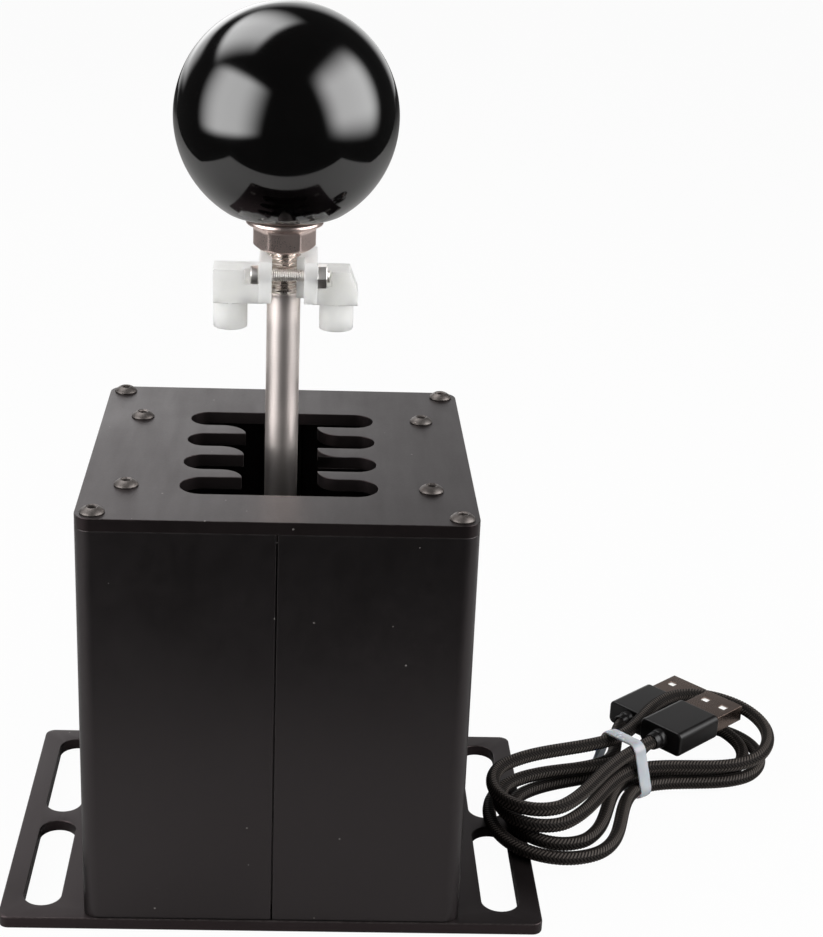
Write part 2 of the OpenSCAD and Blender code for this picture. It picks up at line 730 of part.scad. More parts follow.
module lever_rod() {
    color("#b9bbbe") translate([0, lever_y, 0]) {
        translate([0, 0, rod_foot]) cylinder(h = thread_z - rod_foot, d = rod_d);
        translate([0, 0, thread_z]) cylinder(h = rod_top - thread_z, d = thread_d);
    }
}

module flange_nut() {
    chamfer_d = 13.2;
    rim = 1.2;
    skirt = 1.8;
    flare = (nut_flange_d - nut_af) / 2;
    skirt_z = nut_h - rim - skirt;
    profile = concat([[0, skirt_z]],
                     [for (a = [0 : 15 : 90]) [nut_af / 2 + flare * (1 - cos(a)), skirt_z + skirt * sin(a)]],
                     [[nut_flange_d / 2, nut_h], [0, nut_h]]);
    color("#c4c2b8") translate([0, lever_y, nut_z]) difference() {
        union() {
            intersection() {
                cylinder(h = nut_h - rim, d = nut_af / cos(30), $fn = 6);
                cylinder(h = nut_h, d1 = chamfer_d, d2 = chamfer_d + 3 * nut_h);
            }
            rotate_extrude() polygon(profile);
        }
        translate([0, 0, -over]) cylinder(h = nut_h + 2 * over, d = thread_d + 2 * seat_clear);
    }
}

module ball_knob() {
    flat_z = nut_z + nut_h;
    color("#0c0c0d") translate([0, lever_y, 0]) difference() {
        translate([0, 0, ball_z]) sphere(d = ball_d, $fn = 96);
        translate([-ball_d, -ball_d, flat_z - ball_d]) cube([2 * ball_d, 2 * ball_d, ball_d]);
        translate([0, 0, flat_z - over]) cylinder(h = rod_top - flat_z + 2 * over, d = thread_d + 2 * seat_clear);
    }
}

// Clamp block of the collar between two distances from the centre line.
module clamp_block(x0, x1) {
    translate([x0, -collar_front, collar_block_z])
        cube([x1 - x0, collar_front + collar_rear, collar_top_z - collar_block_z]);
}

// The rod, the screw and the pockets of its head and nut.
module collar_cuts() {
    pocket_l = 3.4;
    pocket_d = 6.6;
    cylinder(h = ball_z, d = rod_d + 2 * seat_clear);
    translate([0, -collar_screw_y, collar_screw_z]) {
        translate([-leg_x, 0, 0]) rod_x(2 * leg_x, collar_screw_d + 2 * screw_clear);
        for (x = [collar_left_x - pocket_l, collar_right_x]) translate([x, 0, 0]) rod_x(pocket_l, pocket_d);
    }
}

// This half reaches round behind the rod to the other one.
module collar_left() {
    web_y = 4.3;
    arm_end = -leg_x - leg_d / 2;
    color("#d8dadb") translate([0, lever_y, 0]) difference() {
        union() {
            clamp_block(collar_left_x, collar_left_in);
            translate([collar_left_in - over, web_y, collar_block_z])
                cube([collar_right_in - collar_left_in + over - seat_clear, collar_rear - web_y,
                      collar_top_z - collar_block_z]);
            translate([arm_end, -leg_d / 2, collar_arm_z])
                cube([collar_left_x + over - arm_end, leg_d, arm_top_z - collar_arm_z]);
            translate([-leg_x, 0, leg_z]) cylinder(h = collar_arm_z + over - leg_z, d = leg_d);
        }
        collar_cuts();
    }
}

// The arm of this half overhangs its leg and slopes off towards the top.
module collar_right() {
    overhang = 0.9;
    slope_z = 144.8;
    slope_x = 2;
    saddle_half = 3;
    saddle_x = 3;
    arm_end = leg_x + leg_d / 2 + overhang;
    color("#d8dadb") translate([0, lever_y, 0]) difference() {
        union() {
            clamp_block(collar_right_in, collar_right_x);
            translate([saddle_x, -saddle_half, collar_block_z])
                cube([collar_right_in - saddle_x + over, 2 * saddle_half, collar_top_z - collar_block_z]);
            rotate([90, 0, 0]) linear_extrude(leg_d, center = true)
                polygon([[collar_right_x - over, collar_arm_z], [arm_end, collar_arm_z], [arm_end, slope_z],
                         [arm_end - slope_x, arm_top_z], [collar_right_x - over, arm_top_z]]);
            translate([leg_x, 0, leg_z]) cylinder(h = collar_arm_z + over - leg_z, d = leg_d);
        }
        collar_cuts();
    }
}

module collar_screw() {
    head_l = 2.1;
    head = 4.6;
    past_nut = 0.6;
    color("#3a3a3c") translate([collar_left_x, lever_y - collar_screw_y, collar_screw_z]) {
        rod_x(collar_right_x - collar_left_x + collar_nut_l + past_nut, collar_screw_d);
        translate([-head_l, 0, 0]) rod_x(head_l, head);
    }
}

module collar_nut() {
    color("#3a3a3c") translate([collar_right_x, lever_y - collar_screw_y, collar_screw_z]) difference() {
        rotate([0, 90, 0]) rotate([0, 0, 30]) cylinder(h = collar_nut_l, d = collar_nut_af / cos(30), $fn = 6);
        translate([-over, 0, 0]) rod_x(collar_nut_l + 2 * over, collar_screw_d + 2 * seat_clear);
    }
}

module usb_cable() {
    color("#151415") tube(cord_path, cord_d);
}

// Places a plug so that the cable meets the middle of its back.
module at_plug(u, v, z) {
    p = hank_plan(u, v);
    translate([p.x, p.y, z]) rotate([0, 0, hank_turn + plug_turn]) children();
}

module at_both_plugs() {
    at_plug(rear_plug_u, rear_plug_v, rear_plug_z) children();
    at_plug(front_plug_u, front_plug_v, front_plug_z) children();
}

module plug_body() {
    edge = 1.6;
    translate([plug_l, 0, 0]) rotate([0, -90, 0]) rounded_block(plug_h, plug_w, plug_l, edge);
}

module rear_plug() {
    color("#161617") at_plug(rear_plug_u, rear_plug_v, rear_plug_z) plug_body();
}

module front_plug() {
    color("#161617") at_plug(front_plug_u, front_plug_v, front_plug_z) plug_body();
}

module plug_shells() {
    color("#b9bbbe") at_both_plugs() translate([plug_l, -shell_w / 2, -shell_h / 2]) difference() {
        cube([shell_l, shell_w, shell_h]);
        translate([shell_wall, shell_wall, shell_wall])
            cube([shell_l, shell_w - 2 * shell_wall, shell_h - 2 * shell_wall]);
        for (y = [shell_w / 4, 3 * shell_w / 4]) translate([shell_l / 2, y - window / 2, -over])
            cube([window, window, shell_h + 2 * over]);
    }
}

module plug_inserts() {
    insert_h = 1.8;
    play = 0.1;
    color("#e4e4e0") at_both_plugs()
        translate([plug_l + shell_wall, shell_wall + play - shell_w / 2, shell_wall + play - shell_h / 2])
            cube([shell_l - shell_wall - 0.5, shell_w - 2 * shell_wall - 2 * play, insert_h]);
}

// Section of the hank at its waist, across it and upwards, grown by a margin.
module waist(margin) {
    hull() {
        for (q = [[0, strand_half(0)], [1, -strand_half(1)], [6, strand_half(6)]])
            translate([q.y, strand_height(q.x, hank_plan(0, q.y).x)]) circle(d = cord_d + 2 * margin, $fn = 32);
        translate([front_line(0), front_plug_z]) circle(d = cord_d + 2 * margin, $fn = 32);
    }
}

module cable_tie() {
    color("#dfe2e4") translate([hank_x, hank_y, 0]) rotate([0, 0, hank_turn]) rotate([90, 0, 90])
        translate([0, 0, -tie_w / 2]) linear_extrude(tie_w) difference() {
            waist(tie_gap + tie_t);
            waist(tie_gap);
        }
}

base_plate();
left_shell();
right_shell();
gate_plate();
plate_screws();
base_screws();
left_bracket();
right_bracket();
trunnion_bushes();
select_springs();
controller_board();
board_chips();
board_standoffs();
board_screws();
usb_socket();
cradle_frame();
trunnions();
lever_pin();
detent_plungers();
lever_hub();
hub_bushes();
tail_magnet();
lever_rod();
flange_nut();
ball_knob();
collar_left();
collar_right();
collar_screw();
collar_nut();
usb_cable();
rear_plug();
front_plug();
plug_shells();
plug_inserts();
cable_tie();
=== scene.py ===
"""Looks of a gated gear shifter: satin plates, a ground lever, a gloss ball and a braided lead."""

import json
import logging
import math
from collections.abc import Sequence
from dataclasses import dataclass, field
from enum import Enum
from itertools import accumulate
from typing import Any

import bmesh
import bpy
from mathutils import Matrix, Vector
from mathutils.bvhtree import BVHTree

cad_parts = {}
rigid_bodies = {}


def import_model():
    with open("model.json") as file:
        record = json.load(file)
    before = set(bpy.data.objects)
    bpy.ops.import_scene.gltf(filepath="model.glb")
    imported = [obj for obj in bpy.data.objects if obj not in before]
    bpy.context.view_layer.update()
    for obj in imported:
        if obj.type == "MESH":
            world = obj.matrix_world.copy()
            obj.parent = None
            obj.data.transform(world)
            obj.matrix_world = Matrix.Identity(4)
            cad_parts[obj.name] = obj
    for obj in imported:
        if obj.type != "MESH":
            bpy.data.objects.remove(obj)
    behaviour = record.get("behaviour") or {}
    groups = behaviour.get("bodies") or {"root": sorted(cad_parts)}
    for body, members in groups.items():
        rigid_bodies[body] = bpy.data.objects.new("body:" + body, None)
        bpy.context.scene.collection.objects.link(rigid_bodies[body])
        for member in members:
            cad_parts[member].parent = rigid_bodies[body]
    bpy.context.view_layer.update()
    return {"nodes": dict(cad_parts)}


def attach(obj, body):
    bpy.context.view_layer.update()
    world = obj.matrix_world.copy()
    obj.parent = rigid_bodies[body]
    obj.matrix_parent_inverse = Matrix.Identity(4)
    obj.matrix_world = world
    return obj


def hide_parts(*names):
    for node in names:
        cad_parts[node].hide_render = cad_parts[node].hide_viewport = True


for leftover in list(bpy.data.objects):
    bpy.data.objects.remove(leftover)
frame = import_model()

LOG = logging.getLogger("gear_shifter")
MM = 0.001
EDGE = "edge"
WELD = 0.03 * MM
FLAT_ANGLE = math.radians(1.0)
SHARP_ANGLE = math.radians(30.0)
STRAY_SHARE = 0.6
SMOOTH_ANGLE = 35.0
Pair = tuple[float, float]
Triple = tuple[float, float, float]
Colour = Triple


class Body(Enum):
    """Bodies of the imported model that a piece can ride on."""

    HOUSING = "housing"
    CRADLE = "cradle"
    LEVER = "lever"


class Axis(Enum):
    """Turns that lay a piece made along +Z on another axis, in radians."""

    UP = (0.0, 0.0, 0.0)
    LEFT = (0.0, -math.pi / 2, 0.0)


# Node trees


class Wire:
    """An output socket of a node tree that takes part in sums."""

    def __init__(self, tree: "Tree", socket: bpy.types.NodeSocket) -> None:
        """Keeps the socket and the tree that it belongs to."""
        self.tree = tree
        self.socket = socket

    def _math(self, operation: str, *values: Any) -> "Wire":
        """Adds a Math node on the given values."""
        return self.tree.node("ShaderNodeMath", {"operation": operation}, dict(enumerate(values)))

    def other(self, key: str | int) -> "Wire":
        """Another output of the same node."""
        return Wire(self.tree, self.tree.socket(self.socket.node.outputs, key))

    def __add__(self, other: Any) -> "Wire":
        """Sum of two values."""
        return self._math("ADD", self, other)

    def __radd__(self, other: Any) -> "Wire":
        """Sum of two values, reflected."""
        return self._math("ADD", other, self)

    def __sub__(self, other: Any) -> "Wire":
        """Difference of two values."""
        return self._math("SUBTRACT", self, other)

    def __rsub__(self, other: Any) -> "Wire":
        """Difference of two values, reflected."""
        return self._math("SUBTRACT", other, self)

    def __mul__(self, other: Any) -> "Wire":
        """Product of two values."""
        return self._math("MULTIPLY", self, other)

    def __rmul__(self, other: Any) -> "Wire":
        """Product of two values, reflected."""
        return self._math("MULTIPLY", other, self)

    def __truediv__(self, other: Any) -> "Wire":
        """Quotient of two values."""
        return self._math("DIVIDE", self, other)

    def __rtruediv__(self, other: Any) -> "Wire":
        """Quotient of two values, reflected."""
        return self._math("DIVIDE", other, self)

    def __pow__(self, other: Any) -> "Wire":
        """Power of two values."""
        return self._math("POWER", self, other)

    def __mod__(self, other: Any) -> "Wire":
        """Remainder that is never negative."""
        return self._math("FLOORED_MODULO", self, other)

    def __abs__(self) -> "Wire":
        """Size of the value without its sign."""
        return self._math("ABSOLUTE", self)

    def floor(self) -> "Wire":
        """Whole part of the value."""
        return self._math("FLOOR", self)

    def fract(self) -> "Wire":
        """Part of the value after the point."""
        return self._math("FRACT", self)

    def above(self, limit: float) -> "Wire":
        """One where the value is above the limit, and nought elsewhere."""
        return self._math("GREATER_THAN", self, limit)

    def arctan2(self, other: "Wire") -> "Wire":
        """Angle of the point with this height and the other's distance."""
        return self._math("ARCTAN2", self, other)

    def ease(self, low: float, high: float) -> "Wire":
        """Smooth rise from nought at low to one at high."""
        return self.tree.node("ShaderNodeMapRange", {"interpolation_type": "SMOOTHSTEP"},
                              {"Value": self, "From Min": low, "From Max": high})

    def clamp(self) -> "Wire":
        """Value held between nought and one."""
        return self.tree.node("ShaderNodeClamp", {}, {"Value": self})


class Tree:
    """A node tree under construction."""

    def __init__(self, tree: bpy.types.NodeTree) -> None:
        """Empties the tree."""
        self.tree = tree
        tree.nodes.clear()

    @staticmethod
    def socket(sockets: Any, key: str | int) -> bpy.types.NodeSocket:
        """Finds a socket.

        Args:
            sockets: Inputs or outputs of a node.
            key: Triple, identifier or name of the socket.

        Returns:
            The socket.
        """
        if isinstance(key, int):
            return sockets[key]
        named = [s for s in sockets if s.identifier == key] or [s for s in sockets if s.name == key]
        return named[0]

    def node(self, kind: str, settings: dict[str, Any] | None = None,
             sockets: dict[str | int, Any] | None = None, output: str | int = 0) -> Wire:
        """Adds a node.

        Args:
            kind: Type of the node.
            settings: Properties, set first.
            sockets: Values or wires of its inputs.
            output: Output that the wire comes from.

        Returns:
            The wire of that output.
        """
        made = self.tree.nodes.new(kind)
        for key, value in (settings or {}).items():
            setattr(made, key, value)
        for key, value in (sockets or {}).items():
            target = self.socket(made.inputs, key)
            if isinstance(value, Wire):
                self.tree.links.new(value.socket, target)
            else:
                target.default_value = value
        outputs = made.outputs
        return Wire(self, self.socket(outputs, output)) if len(outputs) else Wire(self, None)

    def mix(self, share: Any, low: Any, high: Any) -> Wire:
        """Mixes two colours by a share from nought to one."""
        ends = {key: value if isinstance(value, Wire) else (*value, 1.0)
                for key, value in (("A_Color", low), ("B_Color", high))}
        return self.node("ShaderNodeMix", {"data_type": "RGBA"}, {"Factor_Float": share, **ends},
                         "Result_Color")

    def place(self, scale: Triple = (1.0, 1.0, 1.0)) -> Wire:
        """Object coordinates in metres, stretched along each axis."""
        where = self.node("ShaderNodeTexCoord", output="Object")
        return self.node("ShaderNodeVectorMath", {"operation": "MULTIPLY"}, {0: where, 1: scale})

    def noise(self, where: Wire, scale: float, detail: float) -> Wire:
        """Cloudy values about one half."""
        return self.node("ShaderNodeTexNoise", {}, {"Vector": where, "Scale": scale, "Detail": detail})

    def bump(self, height: Wire, strength: float, depth: float) -> Wire:
        """Normal of a surface with the given relief, its depth in metres."""
        return self.node("ShaderNodeBump", {}, {"Height": height, "Strength": strength, "Distance": depth})

    def split(self, where: Wire) -> tuple[Wire, Wire, Wire]:
        """The three values of a vector."""
        made = self.node("ShaderNodeSeparateXYZ", {}, {0: where})
        return tuple(made.other(k) for k in range(3))

    def edge(self) -> Wire:
        """One on rounded edges and nought elsewhere."""
        return self.node("ShaderNodeAttribute", {"attribute_name": EDGE}, output="Fac")

    def seen(self) -> Wire:
        """One for rays from the camera, straight or through clear plastic, and nought for others."""
        straight = self.node("ShaderNodeLightPath", output="Is Camera Ray")
        return (straight + straight.other("Is Transmission Ray")).clamp()


def tree_of(owner: bpy.types.ID) -> Tree:
    """The emptied node tree of a material, a lamp or a world."""
    owner.use_nodes = True
    return Tree(owner.node_tree)


class Rig(Tree):
    """A Geometry Nodes tree with named inputs that makes one mesh."""

    KINDS = {float: "NodeSocketFloat", int: "NodeSocketInt", tuple: "NodeSocketVector",
             bpy.types.Object: "NodeSocketObject", bpy.types.Material: "NodeSocketMaterial"}

    def __init__(self, name: str, inputs: dict[str, Any]) -> None:
        """Makes the tree and its inputs.

        Args:
            name: Name of the tree.
            inputs: Value of each named input.
        """
        super().__init__(bpy.data.node_groups.new(name, "GeometryNodeTree"))
        face = self.tree.interface
        face.new_socket("Geometry", in_out="INPUT", socket_type="NodeSocketGeometry")
        face.new_socket("Geometry", in_out="OUTPUT", socket_type="NodeSocketGeometry")
        self.values = {}
        for key, value in inputs.items():
            kind = next(k for t, k in self.KINDS.items() if isinstance(value, t))
            self.values[face.new_socket(key, in_out="INPUT", socket_type=kind).identifier] = value
        entry = self.tree.nodes.new("NodeGroupInput")
        self.given = {s.name: Wire(self, s) for s in entry.outputs if s.name}

    def end(self, shape: Wire, finish: Wire) -> None:
        """Realizes the shape, gives it its material and links the output.

        Args:
            shape: Geometry of the tree.
            finish: Material.
        """
        real = self.node("GeometryNodeRealizeInstances", {}, {0: shape})
        painted = self.node("GeometryNodeSetMaterial", {}, {"Geometry": real, "Material": finish})
        self.node("NodeGroupOutput", {}, {0: painted})

    def run(self, name: str, points: Sequence[Vector]) -> bpy.types.Mesh:
        """Runs the tree.

        Args:
            name: Name of the mesh.
            points: Points that the tree starts from.

        Returns:
            The plain mesh.
        """
        seed = bpy.data.meshes.new(name + "_points")
        seed.from_pydata([tuple(p) for p in points], [], [])
        holder = placed(name + "_points", seed)
        modifier = holder.modifiers.new("rig", "NODES")
        modifier.node_group = self.tree
        for key, value in self.values.items():
            modifier[key] = value
        made = evaluated_mesh(holder)
        made.name = name
        return made


# Finishes


def shade(colour: Colour, factor: float) -> Colour:
    """The colour made lighter or darker."""
    return tuple(min(1.0, c * factor) for c in colour)


@dataclass(frozen=True)
class Finish:
    """Look of one material and the record's slot that it belongs to."""

    name: str
    slot: str
    colour: Colour
    roughness: float

    def material(self) -> bpy.types.Material:
        """The finish as a material, made once.

        Returns:
            The material.
        """
        found = bpy.data.materials.get(self.name)
        if found:
            return found
        made = bpy.data.materials.new(self.name)
        tree = tree_of(made)
        shader = tree.node("ShaderNodeBsdfPrincipled", {}, {**self.constants(), **self.paint(tree)})
        tree.node("ShaderNodeOutputMaterial", {}, {"Surface": shader})
        return made

    def constants(self) -> dict[str, Any]:
        """Sockets of the shader that are the same all over."""
        return {}

    def paint(self, tree: Tree) -> dict[str, Any]:
        """Sockets of the shader that change over the surface."""
        raise NotImplementedError


@dataclass(frozen=True)
class Coat(Finish):
    """Satin paint or anodising with a fine grain that thins out on the edges."""

    bare: Colour = (0.30, 0.29, 0.28)
    wear: float = 0.35
    grain: float = 0.45
    relief: float = 0.10
    sheen: float = 0.5
    tint: Colour = (1.0, 0.88, 0.90)
    dust: float = 0.045
    dust_cells: float = 190.0
    dust_rare: float = 0.60
    lint: Colour = (0.15, 0.14, 0.135)
    clouds: float = 38.0
    chips: float = 700.0

    def constants(self) -> dict[str, Any]:
        """Gloss and tint of the film."""
        return {"Specular IOR Level": self.sheen, "Specular Tint": (*self.tint, 1.0)}

    def paint(self, tree: Tree) -> dict[str, Any]:
        """Grain, clouds, worn edges and specks of dust.

        Args:
            tree: Tree of the material.

        Returns:
            Values or wires of the shader's sockets.
        """
        place = tree.place()
        grain = tree.noise(place, 1 / (self.grain * MM), 3.0)
        cloud = tree.noise(place, self.clouds, 5.0)
        scuff = tree.noise(tree.place((60.0, 9.0, 40.0)), 6.0, 6.0)
        worn = tree.edge() * (0.3 + 0.7 * tree.noise(place, self.chips, 3.0).ease(0.35, 0.65)) * self.wear
        base = tree.mix(cloud.ease(0.3, 0.7), shade(self.colour, 0.86), shade(self.colour, 1.14))
        speck = tree.mix(grain.ease(0.58, 0.8) * 0.35, base, shade(self.colour, 1.7))
        rough = self.roughness + (cloud - 0.5) * 0.16 + (scuff - 0.5) * 0.12 + (grain - 0.5) * 0.08
        spot = tree.node("ShaderNodeTexVoronoi", {}, {"Vector": place, "Scale": self.dust_cells})
        pick, _, _ = tree.split(spot.other("Color"))
        dust = (1 - spot.above(self.dust)) * pick.above(self.dust_rare)
        tone = tree.mix(dust * 0.8, tree.mix(worn, speck, self.bare), self.lint)
        return {"Base Color": tone, "Roughness": rough.clamp(),
                "Normal": tree.bump(grain, self.relief, 0.06 * MM)}


@dataclass(frozen=True)
class BareMetal(Finish):
    """Metal with streaks from grinding, turning or drawing."""

    streak: Triple = (1500.0, 1500.0, 40.0)
    tarnish: Colour = (0.42, 0.38, 0.34)
    stain: float = 0.25
    stains: float = 120.0
    relief: float = 0.05
    metal: float = 1.0

    def paint(self, tree: Tree) -> dict[str, Any]:
        """Streaks, a faint stain and polished edges.

        Args:
            tree: Tree of the material.

        Returns:
            Values or wires of the shader's sockets.
        """
        streak = tree.noise(tree.place(self.streak), 1.0, 3.0)
        stain = tree.noise(tree.place(), self.stains, 5.0).ease(0.4, 0.75)
        edge = tree.edge()
        base = tree.mix(stain * self.stain, self.colour, self.tarnish)
        base = tree.mix(streak.ease(0.3, 0.7) * 0.25, base, shade(self.colour, 0.75))
        rough = self.roughness + (streak - 0.5) * 0.22 + stain * 0.06 - edge * 0.05
        tone = tree.mix(edge * 0.4, base, shade(self.colour, 1.35))
        return {"Base Color": tone, "Roughness": rough.clamp(), "Metallic": self.metal,
                "Normal": tree.bump(streak, self.relief, 0.02 * MM)}


@dataclass(frozen=True)
class Moulding(Finish):
    """Moulded plastic: gloss or matte, clear or solid."""

    grain: float = 0.3
    relief: float = 0.05
    cloud: float = 0.1
    rub: float = 0.1
    fixed: tuple[tuple[str, Any], ...] = ()

    def constants(self) -> dict[str, Any]:
        """Gloss, clearness and inner scattering of the plastic."""
        return dict(self.fixed)

    def paint(self, tree: Tree) -> dict[str, Any]:
        """Clouds in the colour, rubbed places and a fine skin.

        Args:
            tree: Tree of the material.

        Returns:
            Values or wires of the shader's sockets.
        """
        place = tree.place()
        grain = tree.noise(place, 1 / (self.grain * MM), 2.0)
        cloud = tree.noise(place, 150.0, 4.0)
        rub = tree.noise(tree.place((1.0, 1.0, 0.4)), 70.0, 6.0)
        low, high = shade(self.colour, 1 - self.cloud), shade(self.colour, 1 + self.cloud)
        rough = self.roughness + (rub.ease(0.35, 0.75) - 0.5) * self.rub
        return {"Base Color": tree.mix(cloud.ease(0.3, 0.7), low, high), "Roughness": rough.clamp(),
                "Normal": tree.bump(grain, self.relief, 0.03 * MM)}


@dataclass(frozen=True)
class Weave(Finish):
    """Two sets of strands that pass over two and under two round a sleeve."""

    # Colour of the painted highlight along the tops of the strands.
    painted_highlight: Colour = (0.095, 0.082, 0.074)
    carriers: int = 8

    def constants(self) -> dict[str, Any]:
        """Sheen of the filaments."""
        return {"Specular IOR Level": 0.06}

    def paint(self, tree: Tree) -> dict[str, Any]:
        """Strands by the sleeve's own map: round it, and along it in lays, with a painted highlight along the
        top of each strand.

        Args:
            tree: Tree of the material.

        Returns:
            Values or wires of the shader's sockets.
        """
        across, along, _ = tree.split(tree.node("ShaderNodeUVMap", {"uv_map": "sleeve"}))
        right = (across + along) * self.carriers
        left = (across - along) * self.carriers
        over = 1 - ((right.floor() + left.floor()) % 4.0).above(1.5)
        ridge = over * self.ridge(right) + (1 - over) * self.ridge(left)
        filament = over * (right * 5.0).fract() + (1 - over) * (left * 5.0).fract()
        # Painted highlight: a lighter colour along the middle of each strand, strongest on strands that lie
        # over, stands in for the glint of the filaments.
        painted_glint = (ridge ** 2.5 * (0.6 + 0.4 * (1 - abs(filament * 2 - 1)))).clamp()
        tone = tree.mix(painted_glint * (0.25 + 0.75 * over), self.colour, self.painted_highlight)
        rough = self.roughness - 0.18 * ridge * over
        return {"Base Color": tone, "Roughness": rough.clamp(), "Normal": tree.bump(ridge, 0.55, 0.16 * MM)}

    @staticmethod
    def ridge(strand: Wire) -> Wire:
        """Height across a strand, from nought at its sides to one in the middle."""
        return 1 - (strand.fract() * 2 - 1) ** 2.0


@dataclass(frozen=True)
class CircuitMask(Finish):
    """Lacquered circuit board with tracks under the lacquer and bare pads."""

    track: Colour = (0.05, 0.20, 0.10)
    pad: Colour = (0.75, 0.60, 0.30)

    def paint(self, tree: Tree) -> dict[str, Any]:
        """Tracks on a grid, and rows of pads.

        Args:
            tree: Tree of the material.

        Returns:
            Values or wires of the shader's sockets.
        """
        x, y, _ = tree.split(tree.place((400.0, 400.0, 400.0)))
        block = tree.node("ShaderNodeTexVoronoi", {"distance": "CHEBYCHEV"},
                          {"Vector": tree.place(), "Scale": 110.0})
        line = 1 - abs((x + block.floor() * 0.5).fract() * 2 - 1).ease(0.35, 0.5)
        across = 1 - abs(y.fract() * 2 - 1).ease(0.3, 0.45)
        tracks = (line * block.ease(0.2, 0.3) + across * (1 - block.ease(0.2, 0.3))).clamp()
        pads = abs(x.fract() - 0.5).above(0.32) * abs(y.fract() - 0.5).above(0.32) * block.above(0.42)
        tone = tree.mix(pads, tree.mix(tracks * 0.8, self.colour, self.track), self.pad)
        return {"Base Color": tone, "Roughness": self.roughness + 0.1 * tracks, "Metallic": pads * 0.9,
                "Normal": tree.bump(tracks, 0.3, 0.03 * MM)}


PLATE = Coat("satin grey plate", "plate_paint", (0.0046, 0.0040, 0.0040), 0.36, bare=(0.05, 0.047, 0.045),
             sheen=0.35, tint=(1.0, 0.74, 0.78))
SHELL = Coat("satin black shell", "housing_paint", (0.0034, 0.0030, 0.0031), 0.36, bare=(0.03, 0.028, 0.027))
OXIDE = BareMetal("black oxide", "black_oxide", (0.12, 0.106, 0.10), 0.42, streak=(900.0, 900.0, 900.0),
                  tarnish=(0.10, 0.095, 0.09), stain=0.3, metal=0.85)
STEEL = BareMetal("ground steel", "bright_steel", (0.96, 0.88, 0.84), 0.38, streak=(60.0, 60.0, 12000.0),
                  tarnish=(0.70, 0.58, 0.53), stain=0.15, relief=0.08)
CUT = BareMetal("cut thread", "bright_steel", (0.80, 0.735, 0.69), 0.22, streak=(4000.0, 4000.0, 4000.0),
                tarnish=(0.40, 0.35, 0.29), stain=0.20)
ZINC = BareMetal("bright zinc", "bright_steel", (0.88, 0.85, 0.82), 0.34, streak=(4000.0, 4000.0, 4000.0),
                 stain=0.06)
NICKEL = BareMetal("nickel plate", "nickel", (0.88, 0.72, 0.67), 0.30, streak=(5000.0, 5000.0, 5000.0),
                   tarnish=(0.56, 0.46, 0.42), stain=0.10, relief=0.02)
TINNED = BareMetal("plug shell plate", "nickel", (0.17, 0.125, 0.105), 0.22, streak=(4000.0, 4000.0, 4000.0),
                   tarnish=(0.12, 0.09, 0.075))
MACHINED = BareMetal("dark machined alloy", "cast_alloy", (0.05, 0.05, 0.052), 0.45,
                     streak=(80.0, 80.0, 2400.0), tarnish=(0.08, 0.08, 0.08), metal=0.6)
BRONZE = BareMetal("sintered bronze", "bush_bronze", (0.50, 0.36, 0.19), 0.42,
                   streak=(1500.0, 1500.0, 1500.0), tarnish=(0.30, 0.20, 0.10))
GILT = BareMetal("gilt contact", "bush_bronze", (0.85, 0.62, 0.28), 0.22, streak=(200.0, 900.0, 900.0),
                 tarnish=(0.6, 0.42, 0.2))
WIRE = BareMetal("drawn wire", "spring_wire", (0.45, 0.46, 0.47), 0.30, streak=(300.0, 2000.0, 2000.0))
BALL = Moulding("polished black ball", "gloss_black", (0.0009, 0.0008, 0.0008), 0.09, grain=2.6, relief=0.012,
                cloud=0.2, rub=0.05, fixed=(("IOR", 1.7),))
NYLON = Moulding("natural nylon", "natural_nylon", (0.87, 0.87, 0.85), 0.42, cloud=0.04, relief=0.08,
                 fixed=(("Subsurface Weight", 0.8), ("Subsurface Scale", 0.006),
                        ("Subsurface Radius", (1.0, 1.0, 0.95)), ("Transmission Weight", 0.40)))
PLUG = Moulding("moulded plug", "plug_black", (0.0045, 0.0040, 0.0041), 0.34, grain=0.25, relief=0.12,
                cloud=0.15, fixed=(("Specular IOR Level", 0.30),))
INSERT = Moulding("white insert", "insert_white", (0.88, 0.88, 0.86), 0.45, cloud=0.04)
CHIP = Moulding("chip epoxy", "chip_black", (0.02, 0.02, 0.021), 0.55, grain=0.12, relief=0.3, cloud=0.25)
TIE = Moulding("milky tie", "tie_clear", (0.55, 0.58, 0.62), 0.28, grain=0.5, relief=0.1, cloud=0.08,
               fixed=(("Transmission Weight", 0.35), ("Subsurface Weight", 0.3), ("Subsurface Scale", 0.001),
                      ("IOR", 1.45)))
BRAID = Weave("braided sleeve", "braid_black", (0.0022, 0.0018, 0.0017), 0.60)
BOARD = CircuitMask("circuit board", "board_green", (0.018, 0.09, 0.045), 0.32)


# Meshes


def placed(name: str, data: bpy.types.ID) -> bpy.types.Object:
    """A new object in the scene.

    Args:
        name: Name of the object.
        data: Its mesh, lamp or camera.

    Returns:
        The object.
    """
    made = bpy.data.objects.new(name, data)
    bpy.context.scene.collection.objects.link(made)
    return made


def evaluated_mesh(holder: bpy.types.Object) -> bpy.types.Mesh:
    """Works an object's modifiers into its mesh.

    Args:
        holder: The object; it is removed with its modifiers.

    Returns:
        The plain mesh.
    """
    bpy.context.view_layer.update()
    graph = bpy.context.evaluated_depsgraph_get()
    made = bpy.data.meshes.new_from_object(holder.evaluated_get(graph), preserve_all_data_layers=True,
                                           depsgraph=graph)
    holder.modifiers.clear()
    bpy.data.objects.remove(holder)
    return made


def circle(radius: float, height: float, count: int) -> list[Vector]:
    """Points round the Z axis."""
    turn = 2 * math.pi / count
    return [Vector((radius * math.cos(k * turn), radius * math.sin(k * turn), height)) for k in range(count)]


